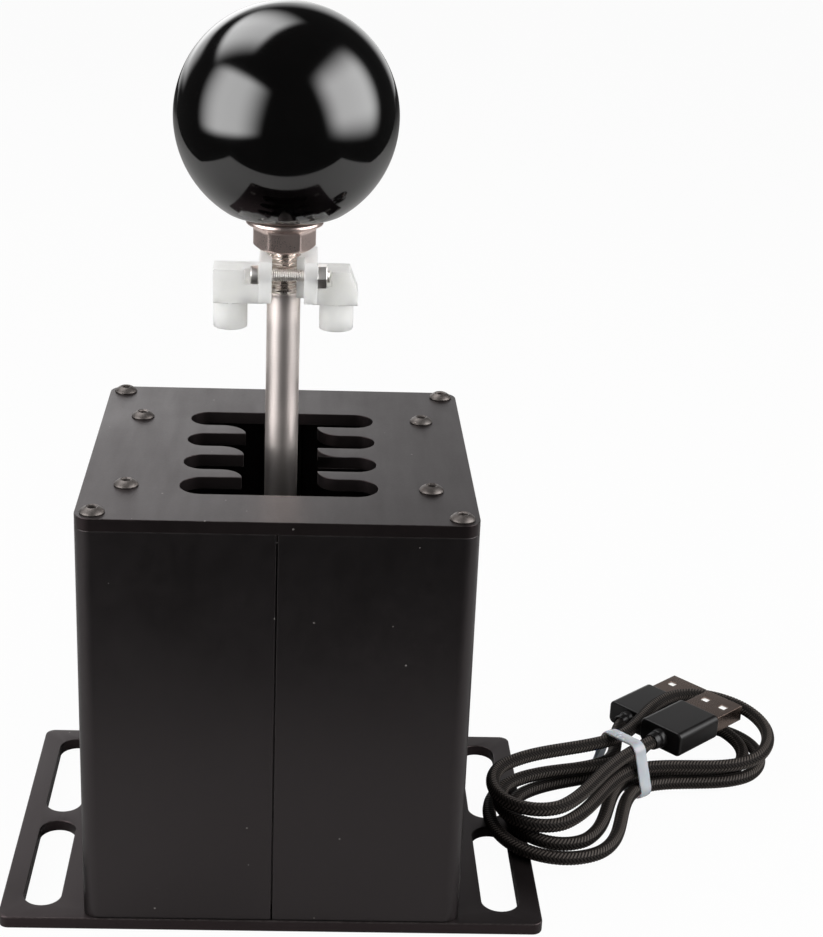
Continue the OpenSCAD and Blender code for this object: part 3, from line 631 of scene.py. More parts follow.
def hexagon(across: float, height: float, count: int) -> list[Vector]:
    """Points on a hexagon round the Z axis, at the same angles as those of a circle.

    Args:
        across: Width across its flats.
        height: Height of the points.
        count: How many points.

    Returns:
        The points.
    """
    points = []
    for k in range(count):
        angle = 2 * math.pi * k / count
        off = (angle + math.pi / 6) % (math.pi / 3) - math.pi / 6
        radius = across / 2 / math.cos(off)
        points.append(Vector((radius * math.cos(angle), radius * math.sin(angle), height)))
    return points


def loft(name: str, rings: Sequence[Sequence[Vector]], looped: bool = False) -> bpy.types.Mesh:
    """Skins a row of rings.

    Args:
        name: Name of the mesh.
        rings: Closed rings of one count; a ring of one point is a pole.
        looped: Whether the last ring joins the first.

    Returns:
        The closed mesh, its open ends capped.
    """
    points = [p for ring in rings for p in ring]
    starts = list(accumulate((len(ring) for ring in rings[:-1]), initial=0))
    faces = []
    pairs = [(k, k + 1) for k in range(len(rings) - 1)] + ([(len(rings) - 1, 0)] if looped else [])
    for low, high in pairs:
        count = max(len(rings[low]), len(rings[high]))
        for j in range(count):
            corners = [starts[low] + j % len(rings[low]), starts[low] + (j + 1) % len(rings[low]),
                       starts[high] + (j + 1) % len(rings[high]), starts[high] + j % len(rings[high])]
            faces.append(list(dict.fromkeys(corners)))
    if not looped and len(rings[0]) > 1:
        faces.append([starts[0] + j for j in reversed(range(len(rings[0])))])
    if not looped and len(rings[-1]) > 1:
        faces.append([starts[-1] + j for j in range(len(rings[-1]))])
    made = bpy.data.meshes.new(name)
    made.from_pydata(points, [], faces)
    return made


def lathe(name: str, profile: Sequence[Pair], count: int) -> bpy.types.Mesh:
    """Turns radii and heights in millimetres round the Z axis; a radius of nought is a pole."""
    return loft(name, [circle(r * MM, z * MM, count) if r else [Vector((0, 0, z * MM))] for r, z in profile])


def metres(rings: Sequence[Sequence[Vector]]) -> list[list[Vector]]:
    """Rings that are given in millimetres, in metres."""
    return [[p * MM for p in ring] for ring in rings]


def joined(name: str, meshes: Sequence[bpy.types.Mesh]) -> bpy.types.Mesh:
    """Puts several meshes into one and removes them.

    Args:
        name: Name of the mesh.
        meshes: The meshes.

    Returns:
        The one mesh.
    """
    work = bmesh.new()
    for part in meshes:
        work.from_mesh(part)
    made = bpy.data.meshes.new(name)
    work.to_mesh(made)
    work.free()
    for part in meshes:
        bpy.data.meshes.remove(part)
    return made


def refill_flats(work: bmesh.types.BMesh, kept: set[bmesh.types.BMFace]) -> None:
    """Fills each flat side anew inside its rim.

    Args:
        work: Mesh with rounded edges.
        kept: Faces that are left as they are.
    """
    sides: dict[tuple[float, ...], list[bmesh.types.BMFace]] = {}
    for face in work.faces:
        normal = face.normal if max(face.normal, key=abs) > 0 else -face.normal
        height = normal.dot(face.calc_center_median()) / MM
        if face not in kept and normal.length > 0.5:
            sides.setdefault((*(round(c, 2) for c in normal), round(height * 20)), []).append(face)
    for faces in sides.values():
        if len(faces) < 4:
            continue
        outward = sum((f.normal * f.calc_area() for f in faces), Vector()).normalized()
        inside = set(faces)
        edges = {e for f in faces for e in f.edges}
        rim = [e for e in edges if sum(f in inside for f in e.link_faces) == 1]
        bmesh.ops.delete(work, geom=faces, context="FACES_KEEP_BOUNDARY")
        rim = [e for e in rim if e.is_valid]
        made = bmesh.ops.triangle_fill(work, use_beauty=True, edges=rim, normal=outward)
        for face in made["geom"]:
            if isinstance(face, bmesh.types.BMFace) and face.normal.dot(outward) < 0:
                face.normal_flip()


def rounded_copy(node: str, width: float, segments: int) -> bpy.types.Mesh:
    """Copy of a CAD node with its edges rounded over and marked.

    Args:
        node: Name of the CAD node.
        width: Width of the rounding, in metres.
        segments: Steps of the rounding.

    Returns:
        The mesh, with the share of rounding on each face as its edge attribute.
    """
    work = bmesh.new()
    work.from_mesh(frame["nodes"][node].data)
    bmesh.ops.remove_doubles(work, verts=work.verts, dist=WELD)
    bmesh.ops.dissolve_limit(work, angle_limit=FLAT_ANGLE, verts=work.verts, edges=work.edges)
    bmesh.ops.triangulate(work, faces=[f for f in work.faces if len(f.verts) > 4])
    mark = work.faces.layers.float.new(EDGE)
    edges = [e for e in work.edges if e.is_manifold and e.calc_face_angle(0.0) > SHARP_ANGLE]
    skin = BVHTree.FromBMesh(work)
    made = bmesh.ops.bevel(work, geom=edges, offset=width, offset_type="OFFSET", segments=segments,
                           profile=0.5, affect="EDGES", clamp_overlap=False)
    for face in made["faces"]:
        face[mark] = 1.0
    for vert in work.verts:
        near, _, _, off = skin.find_nearest(vert.co)
        if off > STRAY_SHARE * width:
            vert.co = near
    refill_flats(work, set(made["faces"]))
    mesh = bpy.data.meshes.new(node)
    work.to_mesh(mesh)
    work.free()
    return mesh


def smooth(mesh: bpy.types.Mesh, angle: float = SMOOTH_ANGLE) -> bpy.types.Mesh:
    """Shades a mesh smooth, with its large faces kept flat.

    Args:
        mesh: The mesh; it is removed.
        angle: Largest angle that is shaded smooth, in degrees.

    Returns:
        The shaded mesh.
    """
    mesh.shade_smooth()
    mesh.set_sharp_from_angle(angle=math.radians(angle))
    holder = placed("smoothing", mesh)
    weighted = holder.modifiers.new("flat faces", "WEIGHTED_NORMAL")
    weighted.keep_sharp = True
    made = evaluated_mesh(holder)
    bpy.data.meshes.remove(mesh)
    return made


def dress(name: str, mesh: bpy.types.Mesh, finish: Finish, body: Body, *nodes: str) -> bpy.types.Object:
    """Makes a finished piece.

    Args:
        name: Name of the piece.
        mesh: Its mesh, in place.
        finish: Its look.
        body: Body that it moves with.
        nodes: CAD nodes that it stands for.

    Returns:
        The piece.
    """
    mesh.name = name
    if not mesh.materials:
        mesh.materials.append(finish.material())
    piece = placed(name, mesh)
    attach(piece, body.value)
    if nodes:
        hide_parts(*nodes)
    LOG.info("%s: %d faces on %s", name, len(mesh.polygons), body.value)
    return piece


def dress_node(node: str, finish: Finish, body: Body, width: float, segments: int = 2,
               angle: float = SMOOTH_ANGLE) -> bpy.types.Object:
    """Makes a finished piece of a CAD node's own shape, with its edges rounded.

    Args:
        node: Name of the CAD node.
        finish: Its look.
        body: Body that it moves with.
        width: Width of the rounding, in millimetres.
        segments: Steps of the rounding.
        angle: Largest angle that is shaded smooth, in degrees.

    Returns:
        The piece.
    """
    mesh = smooth(rounded_copy(node, width * MM, segments), angle)
    return dress("dressed_" + node, mesh, finish, body, node)


def set_on_points(name: str, source: bpy.types.Mesh, points: Sequence[Vector], finish: Finish,
                  facing: Axis = Axis.UP, spin: float = 0.0, seed: int = 1) -> bpy.types.Mesh:
    """Sets one shape on many points.

    Args:
        name: Name of the mesh.
        source: Shape, made along +Z from the origin; it is removed.
        points: Triples of the shape.
        finish: Look of the shapes.
        facing: Axis that the shape is laid on.
        spin: Largest turn of a shape about its own axis, in radians.
        seed: Seed of the turns.

    Returns:
        The mesh of all the shapes.
    """
    holder = placed(name + "_shape", source)
    rig = Rig(name + " on points", {"Shape": holder, "Facing": facing.value, "Spin": float(spin),
                                    "Seed": seed, "Finish": finish.material()})
    given = rig.given
    shape = rig.node("GeometryNodeObjectInfo", {"transform_space": "ORIGINAL"},
                     {"Object": given["Shape"], "As Instance": True}, "Geometry")
    turn = rig.node("FunctionNodeRandomValue", {"data_type": "FLOAT"},
                    {"Max_001": given["Spin"], "Seed": given["Seed"]}, "Value_001")
    lay = rig.node("FunctionNodeEulerToRotation", {}, {0: given["Facing"]})
    upright = rig.node("ShaderNodeCombineXYZ", {}, {"Z": turn})
    about = rig.node("FunctionNodeEulerToRotation", {}, {0: upright})
    turned = rig.node("FunctionNodeRotateRotation", {"rotation_space": "LOCAL"},
                      {"Rotation": lay, "Rotate By": about})
    spots = rig.node("GeometryNodeMeshToPoints", {}, {0: given["Geometry"]})
    rig.end(rig.node("GeometryNodeInstanceOnPoints", {},
                     {"Points": spots, "Instance": shape, "Rotation": turned}), given["Finish"])
    made = rig.run(name, points)
    bpy.data.objects.remove(holder)
    bpy.data.meshes.remove(source)
    return made


def thread(name: str, radius: float, depth: float, pitch: float, length: float, finish: Finish,
           sides: int, rows: int = 10) -> bpy.types.Mesh:
    """A screw thread along +Z from the origin.

    Args:
        name: Name of the mesh.
        radius: Radius of the crest.
        depth: Depth of the groove.
        pitch: Rise of the thread in one turn.
        length: Length of the threaded part.
        finish: Look of the thread.
        sides: Points round it.
        rows: Points along each pitch.

    Returns:
        The mesh.
    """
    rig = Rig(name + " thread", {"Radius": radius, "Depth": depth, "Pitch": pitch, "Length": length,
                                 "Sides": sides, "Rows": round(rows * length / pitch),
                                 "Finish": finish.material()})
    given = rig.given
    bar = rig.node("GeometryNodeMeshCylinder", {"fill_type": "NGON"},
                   {"Vertices": given["Sides"], "Side Segments": given["Rows"], "Radius": given["Radius"],
                    "Depth": given["Length"]}, "Mesh")
    x, y, z = rig.split(rig.node("GeometryNodeInputPosition"))
    height = z + given["Length"] / 2
    phase = (height / given["Pitch"] - y.arctan2(x) / (2 * math.pi)).fract()
    root, flank = 0.12, 0.70
    groove = 1 - ((abs(phase * 2 - 1) - root) / flank).clamp()
    fade = (height / given["Pitch"]).clamp() * ((given["Length"] - height) / given["Pitch"]).clamp()
    share = 1 - groove * fade * given["Depth"] / given["Radius"]
    spot = rig.node("ShaderNodeCombineXYZ", {}, {0: x * share, 1: y * share, 2: height})
    rig.end(rig.node("GeometryNodeSetPosition", {}, {"Geometry": bar, "Position": spot}), given["Finish"])
    return rig.run(name, [Vector()])


# Cable


def ease(x: float) -> float:
    """Smooth step from nought to one."""
    c = min(1.0, max(0.0, x))
    return c * c * (3 - 2 * c)


def blend(a: float, b: float, share: float) -> float:
    """Value between a and b."""
    return a + (b - a) * share


def even_steps(points: Sequence[Vector], count: int) -> list[Vector]:
    """Cuts a line into even steps.

    Args:
        points: Points of the line.
        count: How many steps it is cut into.

    Returns:
        The points between the steps, with both ends.
    """
    lengths = [0.0]
    for a, b in zip(points, points[1:]):
        lengths.append(lengths[-1] + (b - a).length)
    even, k = [], 0
    for j in range(count + 1):
        want = lengths[-1] * j / count
        while k < len(points) - 2 and lengths[k + 1] < want:
            k += 1
        span = max(1e-12, lengths[k + 1] - lengths[k])
        even.append(points[k].lerp(points[k + 1], (want - lengths[k]) / span))
    return even


@dataclass
class Cable:
    """The braided lead, tied into a hank, with a plug at each end. Sizes in millimetres."""

    cord_d: float = 3.6
    hank: Pair = (95.0, 23.0)
    turn: float = math.radians(34.0)
    core: float = 0.1
    step: float = 4.7
    reversal: float = 3.5
    turns: tuple[tuple[float, float, float, float], ...] = (
        (30.0, 12.0, -0.002, -5.0), (30.0, 10.7, 0.0, 0.0), (30.0, 10.5, -0.002, -5.0),
        (30.0, 10.7, 0.0, 0.0), (34.0, 9.0, -0.002, -1.0), (31.0, 12.0, 0.0008, -2.0),
        (34.0, 5.0, -0.002, 1.0))
    loose_rise: float = 3.2
    loose_turn: int = 5
    layer_step: float = 4.2
    climbs: tuple[Pair, ...] = ((3.15, 0.7), (5.4, 0.5))
    plug_climb: Pair = (6.5, 0.5)
    run_steps: int = 5
    arc_steps: int = 12
    base_t: float = 3.0
    floor_gap: float = 0.3
    slope: Pair = (68.0, 128.0)
    plug_turn: float = math.radians(8.0)
    rear_plug: Triple = (23.0, 23.4, 3.9)
    front_plug: Triple = (11.0, -1.3, 13.3)
    tail_straight: float = 2.0
    plug_l: float = 17.0
    shell: Triple = (12.0, 12.0, 4.5)
    boot_profile: tuple[Pair, ...] = (
        (0.05, -3.9), (0.35, -3.9), (0.45, -3.7), (0.62, -2.4), (0.40, -2.2), (0.42, -1.7), (0.72, -1.5),
        (0.95, -0.2), (0.95, 0.6), (0.05, 0.6))
    contact: Triple = (7.5, 1.0, 0.18)
    contact_y: tuple[float, ...] = (-3.5, -1.0, 1.0, 3.5)
    pad_half: float = 1.5
    pad_y: tuple[float, ...] = (-3.0, 3.0)
    tie_w: float = 3.8
    tie_t: float = 0.8
    tie_gap: float = 0.3
    tie_skew: float = 0.105
    tie_ripple: float = 0.06
    lay: float = 7.2
    sides: int = 24
    relief: float = 0.13
    path: list[Vector] = field(default_factory=list)

    def strand_half(self, t: float) -> float:
        """Distance of a strand from the middle of the waist."""
        return self.core + self.step / 2 * abs(t - self.reversal)

    def plug_line(self, plug: Triple, u: float) -> float:
        """Line of a plug across the hank, at a place along it."""
        return plug[1] + math.tan(self.plug_turn) * (u - plug[0])

    def turn_point(self, i: int, k: int) -> Triple:
        """A point of a half turn.

        Args:
            i: Number of the half turn.
            k: Steps along it.

        Returns:
            Place along and across the hank, and half turns so far.
        """
        steps = 2 * self.run_steps + self.arc_steps
        reach, flare, bend, shift = self.turns[i]
        t = i + k / steps
        side = -1 if i % 2 == 0 else 1
        s = min(1.0, k / self.run_steps, (steps - k) / self.run_steps)
        a = math.pi * min(1.0, max(0.0, (k - self.run_steps) / self.arc_steps))
        r = self.strand_half(t) + flare * ease(s)
        u = side * (reach * s + r * math.sin(a))
        v = -side * r * math.cos(a) + bend * u * u + shift * ease(s)
        if i == len(self.turns) - 1 and k > self.run_steps + self.arc_steps:
            v = blend(self.plug_line(self.front_plug, u), v, ease(s))
        return u, v, t

    def plan(self, u: float, v: float) -> Pair:
        """Place on the table of a point along and across the hank."""
        c, s = math.cos(self.turn), math.sin(self.turn)
        return self.hank[0] + u * c - v * s, self.hank[1] + u * s + v * c

    def floor_height(self, x: float) -> float:
        """Height of the lowest layer, which slopes from the base plate down to the table."""
        share = (self.slope[1] - x) / (self.slope[1] - self.slope[0])
        return self.base_t * min(1.0, max(0.0, share)) + self.cord_d / 2 + self.floor_gap

    def strand_height(self, t: float, x: float) -> float:
        """Height of the cable in the hank.

        Args:
            t: Half turns so far.
            x: Triple on the table, left to right.

        Returns:
            The height.
        """
        layers = self.layer_step * sum(ease((t - start) / span) for start, span in self.climbs)
        inside = self.loose_turn < t < self.loose_turn + 1
        loose = self.loose_rise * math.sin(math.pi * (t - self.loose_turn)) ** 2 if inside else 0.0
        top = ease((t - self.plug_climb[0]) / self.plug_climb[1])
        return blend(self.floor_height(x) + layers + loose, self.front_plug[2], top)

    def rear_tail(self, u: float) -> Vector:
        """A point between the rear plug and the waist.

        Args:
            u: Triple along the hank.

        Returns:
            The point.
        """
        s = ease(u / (self.rear_plug[0] - self.tail_straight))
        x, y = self.plan(u, blend(self.strand_half(0), self.plug_line(self.rear_plug, u), s))
        return Vector((x, y, blend(self.floor_height(x), self.rear_plug[2], s)))

    def strand(self, u: float, v: float, t: float) -> Vector:
        """A point of the hank."""
        x, y = self.plan(u, v)
        return Vector((x, y, self.strand_height(t, x)))

    def front_tail(self, u: float) -> Vector:
        """A point between the waist and the front plug."""
        return Vector((*self.plan(u, self.plug_line(self.front_plug, u)), self.front_plug[2]))

    def route(self) -> list[Vector]:
        """The cable's points from plug to plug, in metres, as the CAD solid has them.

        Returns:
            The points.
        """
        u = self.rear_plug[0]
        steps = 2 * self.run_steps + self.arc_steps
        points = [self.rear_tail(u), self.rear_tail(u - self.tail_straight / 2)]
        points += [self.rear_tail((u - self.tail_straight) * k / 6) for k in range(6, 0, -1)]
        points += [self.strand(*self.turn_point(i, k)) for i in range(len(self.turns)) for k in range(steps)]
        points += [self.front_tail(u) for u in (0.0, self.front_plug[0] / 2, self.front_plug[0])]
        return [p * MM for p in points]

    @staticmethod
    def curve_along(points: Sequence[Vector], spacing: float) -> list[Vector]:
        """Smooth curve along points, in even steps.

        Args:
            points: Points that the curve follows; it starts and ends on the outer two.
            spacing: Length of a step.

        Returns:
            The points of the curve.
        """
        ends = [points[0] * 2 - points[1], *points, points[-1] * 2 - points[-2]]
        dense, parts = [], 24
        for a, b, c, d in zip(ends, ends[1:], ends[2:], ends[3:]):
            for k in range(parts):
                t = k / parts
                dense.append(((1 - t) ** 3 * a + (3 * t ** 3 - 6 * t * t + 4) * b
                              + (3 * t + 3 * t * t - 3 * t ** 3 + 1) * c + t ** 3 * d) / 6)
        dense.append(points[-1].copy())
        length = sum((b - a).length for a, b in zip(dense, dense[1:]))
        return even_steps(dense, max(2, round(length / spacing)))

    def strand_rise(self, j: int, k: int) -> float:
        """Height of the weave.

        Args:
            j: Point round the sleeve.
            k: Ring along it.

        Returns:
            From nought between strands to one on top of them.
        """
        per = self.sides // BRAID.carriers
        right, left = j + k, j - k
        over = (right // per + left // per) % 4 < 2
        part = ((right if over else left) % per) / per
        return 1 - (2 * part - 1) ** 2

    def build_sleeve(self) -> bpy.types.Mesh:
        """The braided tube, with the relief of its strands.

        Returns:
            The mesh, in place.
        """
        rows = self.lay * MM / self.sides
        self.path = self.curve_along(self.route(), rows)
        normal = Vector((0, 0, 1))
        rings, count = [], len(self.path)
        for k, centre in enumerate(self.path):
            along = (self.path[min(k + 1, count - 1)] - self.path[max(k - 1, 0)]).normalized()
            normal = (normal - along * normal.dot(along)).normalized()
            other = along.cross(normal)
            ring = []
            for j in range(self.sides):
                angle = 2 * math.pi * j / self.sides
                radius = (self.cord_d / 2 - self.relief * (1 - self.strand_rise(j, k))) * MM
                ring.append(centre + (normal * math.cos(angle) + other * math.sin(angle)) * radius)
            rings.append(ring)
        mesh = loft("sleeve", rings)
        layer = mesh.uv_layers.new(name="sleeve")
        flat = [0.0] * (2 * len(mesh.loops))
        place = 0
        for k in range(count - 1):
            for j in range(self.sides):
                for dj, dk in ((0, 0), (1, 0), (1, 1), (0, 1)):
                    flat[place] = (j + dj) / self.sides
                    flat[place + 1] = (k + dk) / self.sides
                    place += 2
        layer.data.foreach_set("uv", flat)
        mesh.shade_smooth()
        return mesh

    def plug_place(self, plug: Triple) -> Matrix:
        """Frame of a plug: origin where the cable enters it, X towards its shell."""
        place = Vector((*self.plan(plug[0], plug[1]), plug[2])) * MM
        return Matrix.Translation(place) @ Matrix.Rotation(self.turn + self.plug_turn, 4, "Z")

    def boot(self, plug: Triple) -> bpy.types.Mesh:
        """The tapered sleeve that guards the cable where it enters a plug.

        Args:
            plug: Triple of the plug in the hank.

        Returns:
            The mesh, in place.
        """
        count = 32
        rings = [circle((self.cord_d / 2 + wall) * MM, z * MM, count) for wall, z in self.boot_profile]
        mesh = loft("boot", rings, looped=True)
        mesh.transform(self.plug_place(plug) @ Matrix.Rotation(math.pi / 2, 4, "Y"))
        return smooth(mesh, 50.0)

    def on_plugs(self, name: str, source: bpy.types.Mesh, row: Sequence[Vector],
                 finish: Finish) -> bpy.types.Mesh:
        """Sets a row of one shape on each plug.

        Args:
            name: Name of the mesh.
            source: Shape; it is removed.
            row: Triples of the shape on a plug.
            finish: Look of the shapes.

        Returns:
            The mesh of both rows.
        """
        rows = []
        for number, plug in enumerate((self.rear_plug, self.front_plug)):
            made = set_on_points(f"{name}_{number}", source.copy(), row, finish)
            made.transform(self.plug_place(plug))
            rows.append(made)
        bpy.data.meshes.remove(source)
        return joined(name, rows)

    def contacts(self) -> bpy.types.Mesh:
        """Four gilt contacts on each plug's insert.

        Returns:
            The mesh, in place.
        """
        length, width, height = (size * MM for size in self.contact)
        rings = [[Vector((x, y, z)) for x, y in ((0, -width / 2 + i), (length - i, -width / 2 + i),
                                                 (length - i, width / 2 - i), (0, width / 2 - i))]
                 for z, i in ((0.0, 0.0), (height * 0.6, 0.0), (height, 0.08 * MM))]
        row = [Vector((self.plug_l + 3.6, y, 0.05)) * MM for y in self.contact_y]
        return self.on_plugs("contacts", loft("contact", rings), row, GILT)

    def pads(self) -> bpy.types.Mesh:
        """White pads of each plug's insert, behind the windows of its shell.

        Returns:
            The mesh, in place.
        """
        half, low, high = self.pad_half, -0.2, self.shell[2] / 2 - 0.35
        corners = ((-1, -1), (1, -1), (1, 1), (-1, 1))
        rings = [[Vector((x * (half - i), y * (half - i), z)) for x, y in corners]
                 for z, i in ((low, 0.0), (high - 0.2, 0.0), (high, 0.2))]
        row = [Vector((self.plug_l + self.shell[0] / 2 + 1.25, y, 0.0)) * MM for y in self.pad_y]
        return self.on_plugs("pads", loft("pad", metres(rings)), row, INSERT)

    def tie_outline(self, margin: float, count: int) -> list[Vector]:
        """Outline of the waist grown by a margin, across the hank and upwards, in even steps.

        Args:
            margin: How far it is grown.
            count: How many points.

        Returns:
            The points, across the hank and upwards.
        """
        spots = [(v, self.strand_height(t, self.plan(0.0, v)[0]))
                 for t, v in ((0, self.strand_half(0)), (1, -self.strand_half(1)), (6, self.strand_half(6)))]
        spots.append((self.plug_line(self.front_plug, 0.0), self.front_plug[2]))
        radius = self.cord_d / 2 + margin
        edge = []
        for k in range(720):
            c, s = math.cos(k * math.pi / 360), math.sin(k * math.pi / 360)
            v, z = max(spots, key=lambda q: q[0] * c + q[1] * s)
            edge.append(Vector((v + radius * c, z + radius * s, 0.0)))
        edge.append(edge[0].copy())
        return even_steps(edge, count)[:-1]

    def build_tie(self) -> bpy.types.Mesh:
        """The band round the waist, slightly crinkled.

        Returns:
            The mesh, in place.
        """
        count = 120
        inner = self.tie_outline(self.tie_gap, count)
        outer = self.tie_outline(self.tie_gap + self.tie_t, count)
        half = self.tie_w / 2
        section = [(-half + 0.15, 0.1), (-half, 0.35), (-half + 0.1, 0.75), (-half * 0.5, 0.95), (0.0, 1.0),
                   (half * 0.5, 0.95), (half - 0.1, 0.75), (half, 0.35), (half - 0.15, 0.1), (0.0, 0.05)]
        rings = []
        for j in range(count):
            skew = self.tie_skew * math.sin(4 * math.pi * j / count)
            ring = []
            for w, share in section:
                ripple = self.tie_ripple * math.sin(9.0 * w + 0.9 * j) * share
                p = inner[j].lerp(outer[j], min(1.0, max(0.0, share - ripple)))
                ring.append(Vector((*self.plan(w + skew, p.x), p.y)) * MM)
            rings.append(ring)
        mesh = loft("tie", rings, looped=True)
        work = bmesh.new()
        work.from_mesh(mesh)
        bmesh.ops.recalc_face_normals(work, faces=work.faces)
        work.to_mesh(mesh)
        work.free()
        return smooth(mesh, 50.0)

    def build(self) -> None:
        """Builds and dresses the lead."""
        sleeve = dress("braided_lead", self.build_sleeve(), BRAID, Body.HOUSING, "usb_cable")
        for node, plug in (("rear_plug", self.rear_plug), ("front_plug", self.front_plug)):
            dress_node(node, PLUG, Body.HOUSING, 0.55, 3)
            dress(node + "_boot", self.boot(plug), PLUG, Body.HOUSING)
        dress_node("plug_shells", TINNED, Body.HOUSING, 0.11)
        dress_node("plug_inserts", INSERT, Body.HOUSING, 0.12)
        dress("window_pads", self.pads(), INSERT, Body.HOUSING)
        dress("plug_contacts", self.contacts(), GILT, Body.HOUSING)
        dress("waist_tie", self.build_tie(), TIE, Body.HOUSING, "cable_tie")
        length = sum((b - a).length for a, b in zip(self.path, self.path[1:]))
        LOG.info("braided lead: %.3f m long", length)


# Housing


@dataclass
class Housing:
    """Base plate, the two shells, the gate plate and their screws. Sizes in millimetres."""

    top_z: float = 106.0
    corner: float = 41.0
    inner_x: float = 35.0
    gate_y: float = -1.2
    inner_y: float = 23.2
    head_d: float = 5.7
    head_h: float = 1.65
    rim_h: float = 0.32
    socket_af: float = 2.0
    shank_d: float = 3.0
    shank_l: float = 10.0
    foot_z: float = 0.1
    foot_profile: tuple[Pair, ...] = (
        (2.9, 0.0), (3.0, 0.06), (2.95, 0.12), (1.5, 1.52), (1.5, 9.7), (1.2, 10.0))
    count: int = 48

    @staticmethod
    def four_points(x: float, y: float, z: float, middle: float = 0.0) -> list[Vector]:
        """Four places, mirrored left to right, and front to rear about a middle line."""
        return [Vector((i * x, middle + j * y, z)) * MM for i in (-1, 1) for j in (-1, 1)]

    def button_head(self) -> bpy.types.Mesh:
        """A screw with a domed head and a hexagon socket, its seat at the origin.

        Returns:
            The mesh.
        """
        n, af = self.count, self.socket_af
        half, shank = self.head_d / 2, self.shank_d / 2
        rise = self.head_h - self.rim_h
        dome_r = (rise * rise + half * half) / (2 * rise)
        mouth = af / 2 / math.cos(math.pi / 6) + 0.22
        rings = [[Vector((0, 0, -self.shank_l))], circle(shank - 0.3, -self.shank_l, n),
                 circle(shank, -self.shank_l + 0.3, n), circle(shank, 0.0, n), circle(half - 0.12, 0.0, n),
                 circle(half, 0.10, n), circle(half, 0.26, n)]
        steps = 9
        for k in range(1, steps + 1):
            r = blend(half, mouth, k / steps)
            rings.append(circle(r, self.head_h - dome_r + math.sqrt(dome_r ** 2 - r * r), n))
        lip = rings[-1][0].z
        rings += [hexagon(af + 0.12, lip - 0.10, n), hexagon(af, lip - 0.20, n),
                  hexagon(af, self.head_h - 1.05, n), hexagon(af * 0.86, self.head_h - 1.15, n),
                  [Vector((0, 0, self.head_h - 1.45))]]
        return smooth(loft("button_head", metres(rings)), 32.0)

    def flat_head(self) -> bpy.types.Mesh:
        """A countersunk screw with its flat head at the origin, pointing up.

        Returns:
            The mesh.
        """
        n, af = self.count, self.socket_af
        rings = [[Vector((0, 0, 1.35))], hexagon(af * 0.9, 1.05, n), hexagon(af, 1.0, n),
                 hexagon(af, 0.15, n), hexagon(af + 0.2, 0.0, n)]
        rings += [circle(r, z, n) for r, z in self.foot_profile]
        rings.append([Vector((0, 0, self.foot_profile[-1][1]))])
        return smooth(loft("flat_head", metres(rings)), 32.0)

    def build(self) -> None:
        """Builds and dresses the housing."""
        for node, finish, width in (("base_plate", PLATE, 0.30), ("gate_plate", PLATE, 0.14),
                                    ("left_shell", SHELL, 0.15), ("right_shell", SHELL, 0.15)):
            dress_node(node, finish, Body.HOUSING, width)
        points = self.four_points(self.corner, self.corner, self.top_z)
        points += self.four_points(self.inner_x, self.inner_y, self.top_z, self.gate_y)
        heads = set_on_points("plate_screw_set", self.button_head(), points, OXIDE, spin=math.pi / 3, seed=7)
        dress("plate_screw_set", heads, OXIDE, Body.HOUSING, "plate_screws")
        points = self.four_points(self.corner, self.corner, self.foot_z)
        feet = set_on_points("base_screw_set", self.flat_head(), points, OXIDE, spin=math.pi / 3, seed=11)
        dress("base_screw_set", feet, OXIDE, Body.HOUSING, "base_screws")


# Mechanism


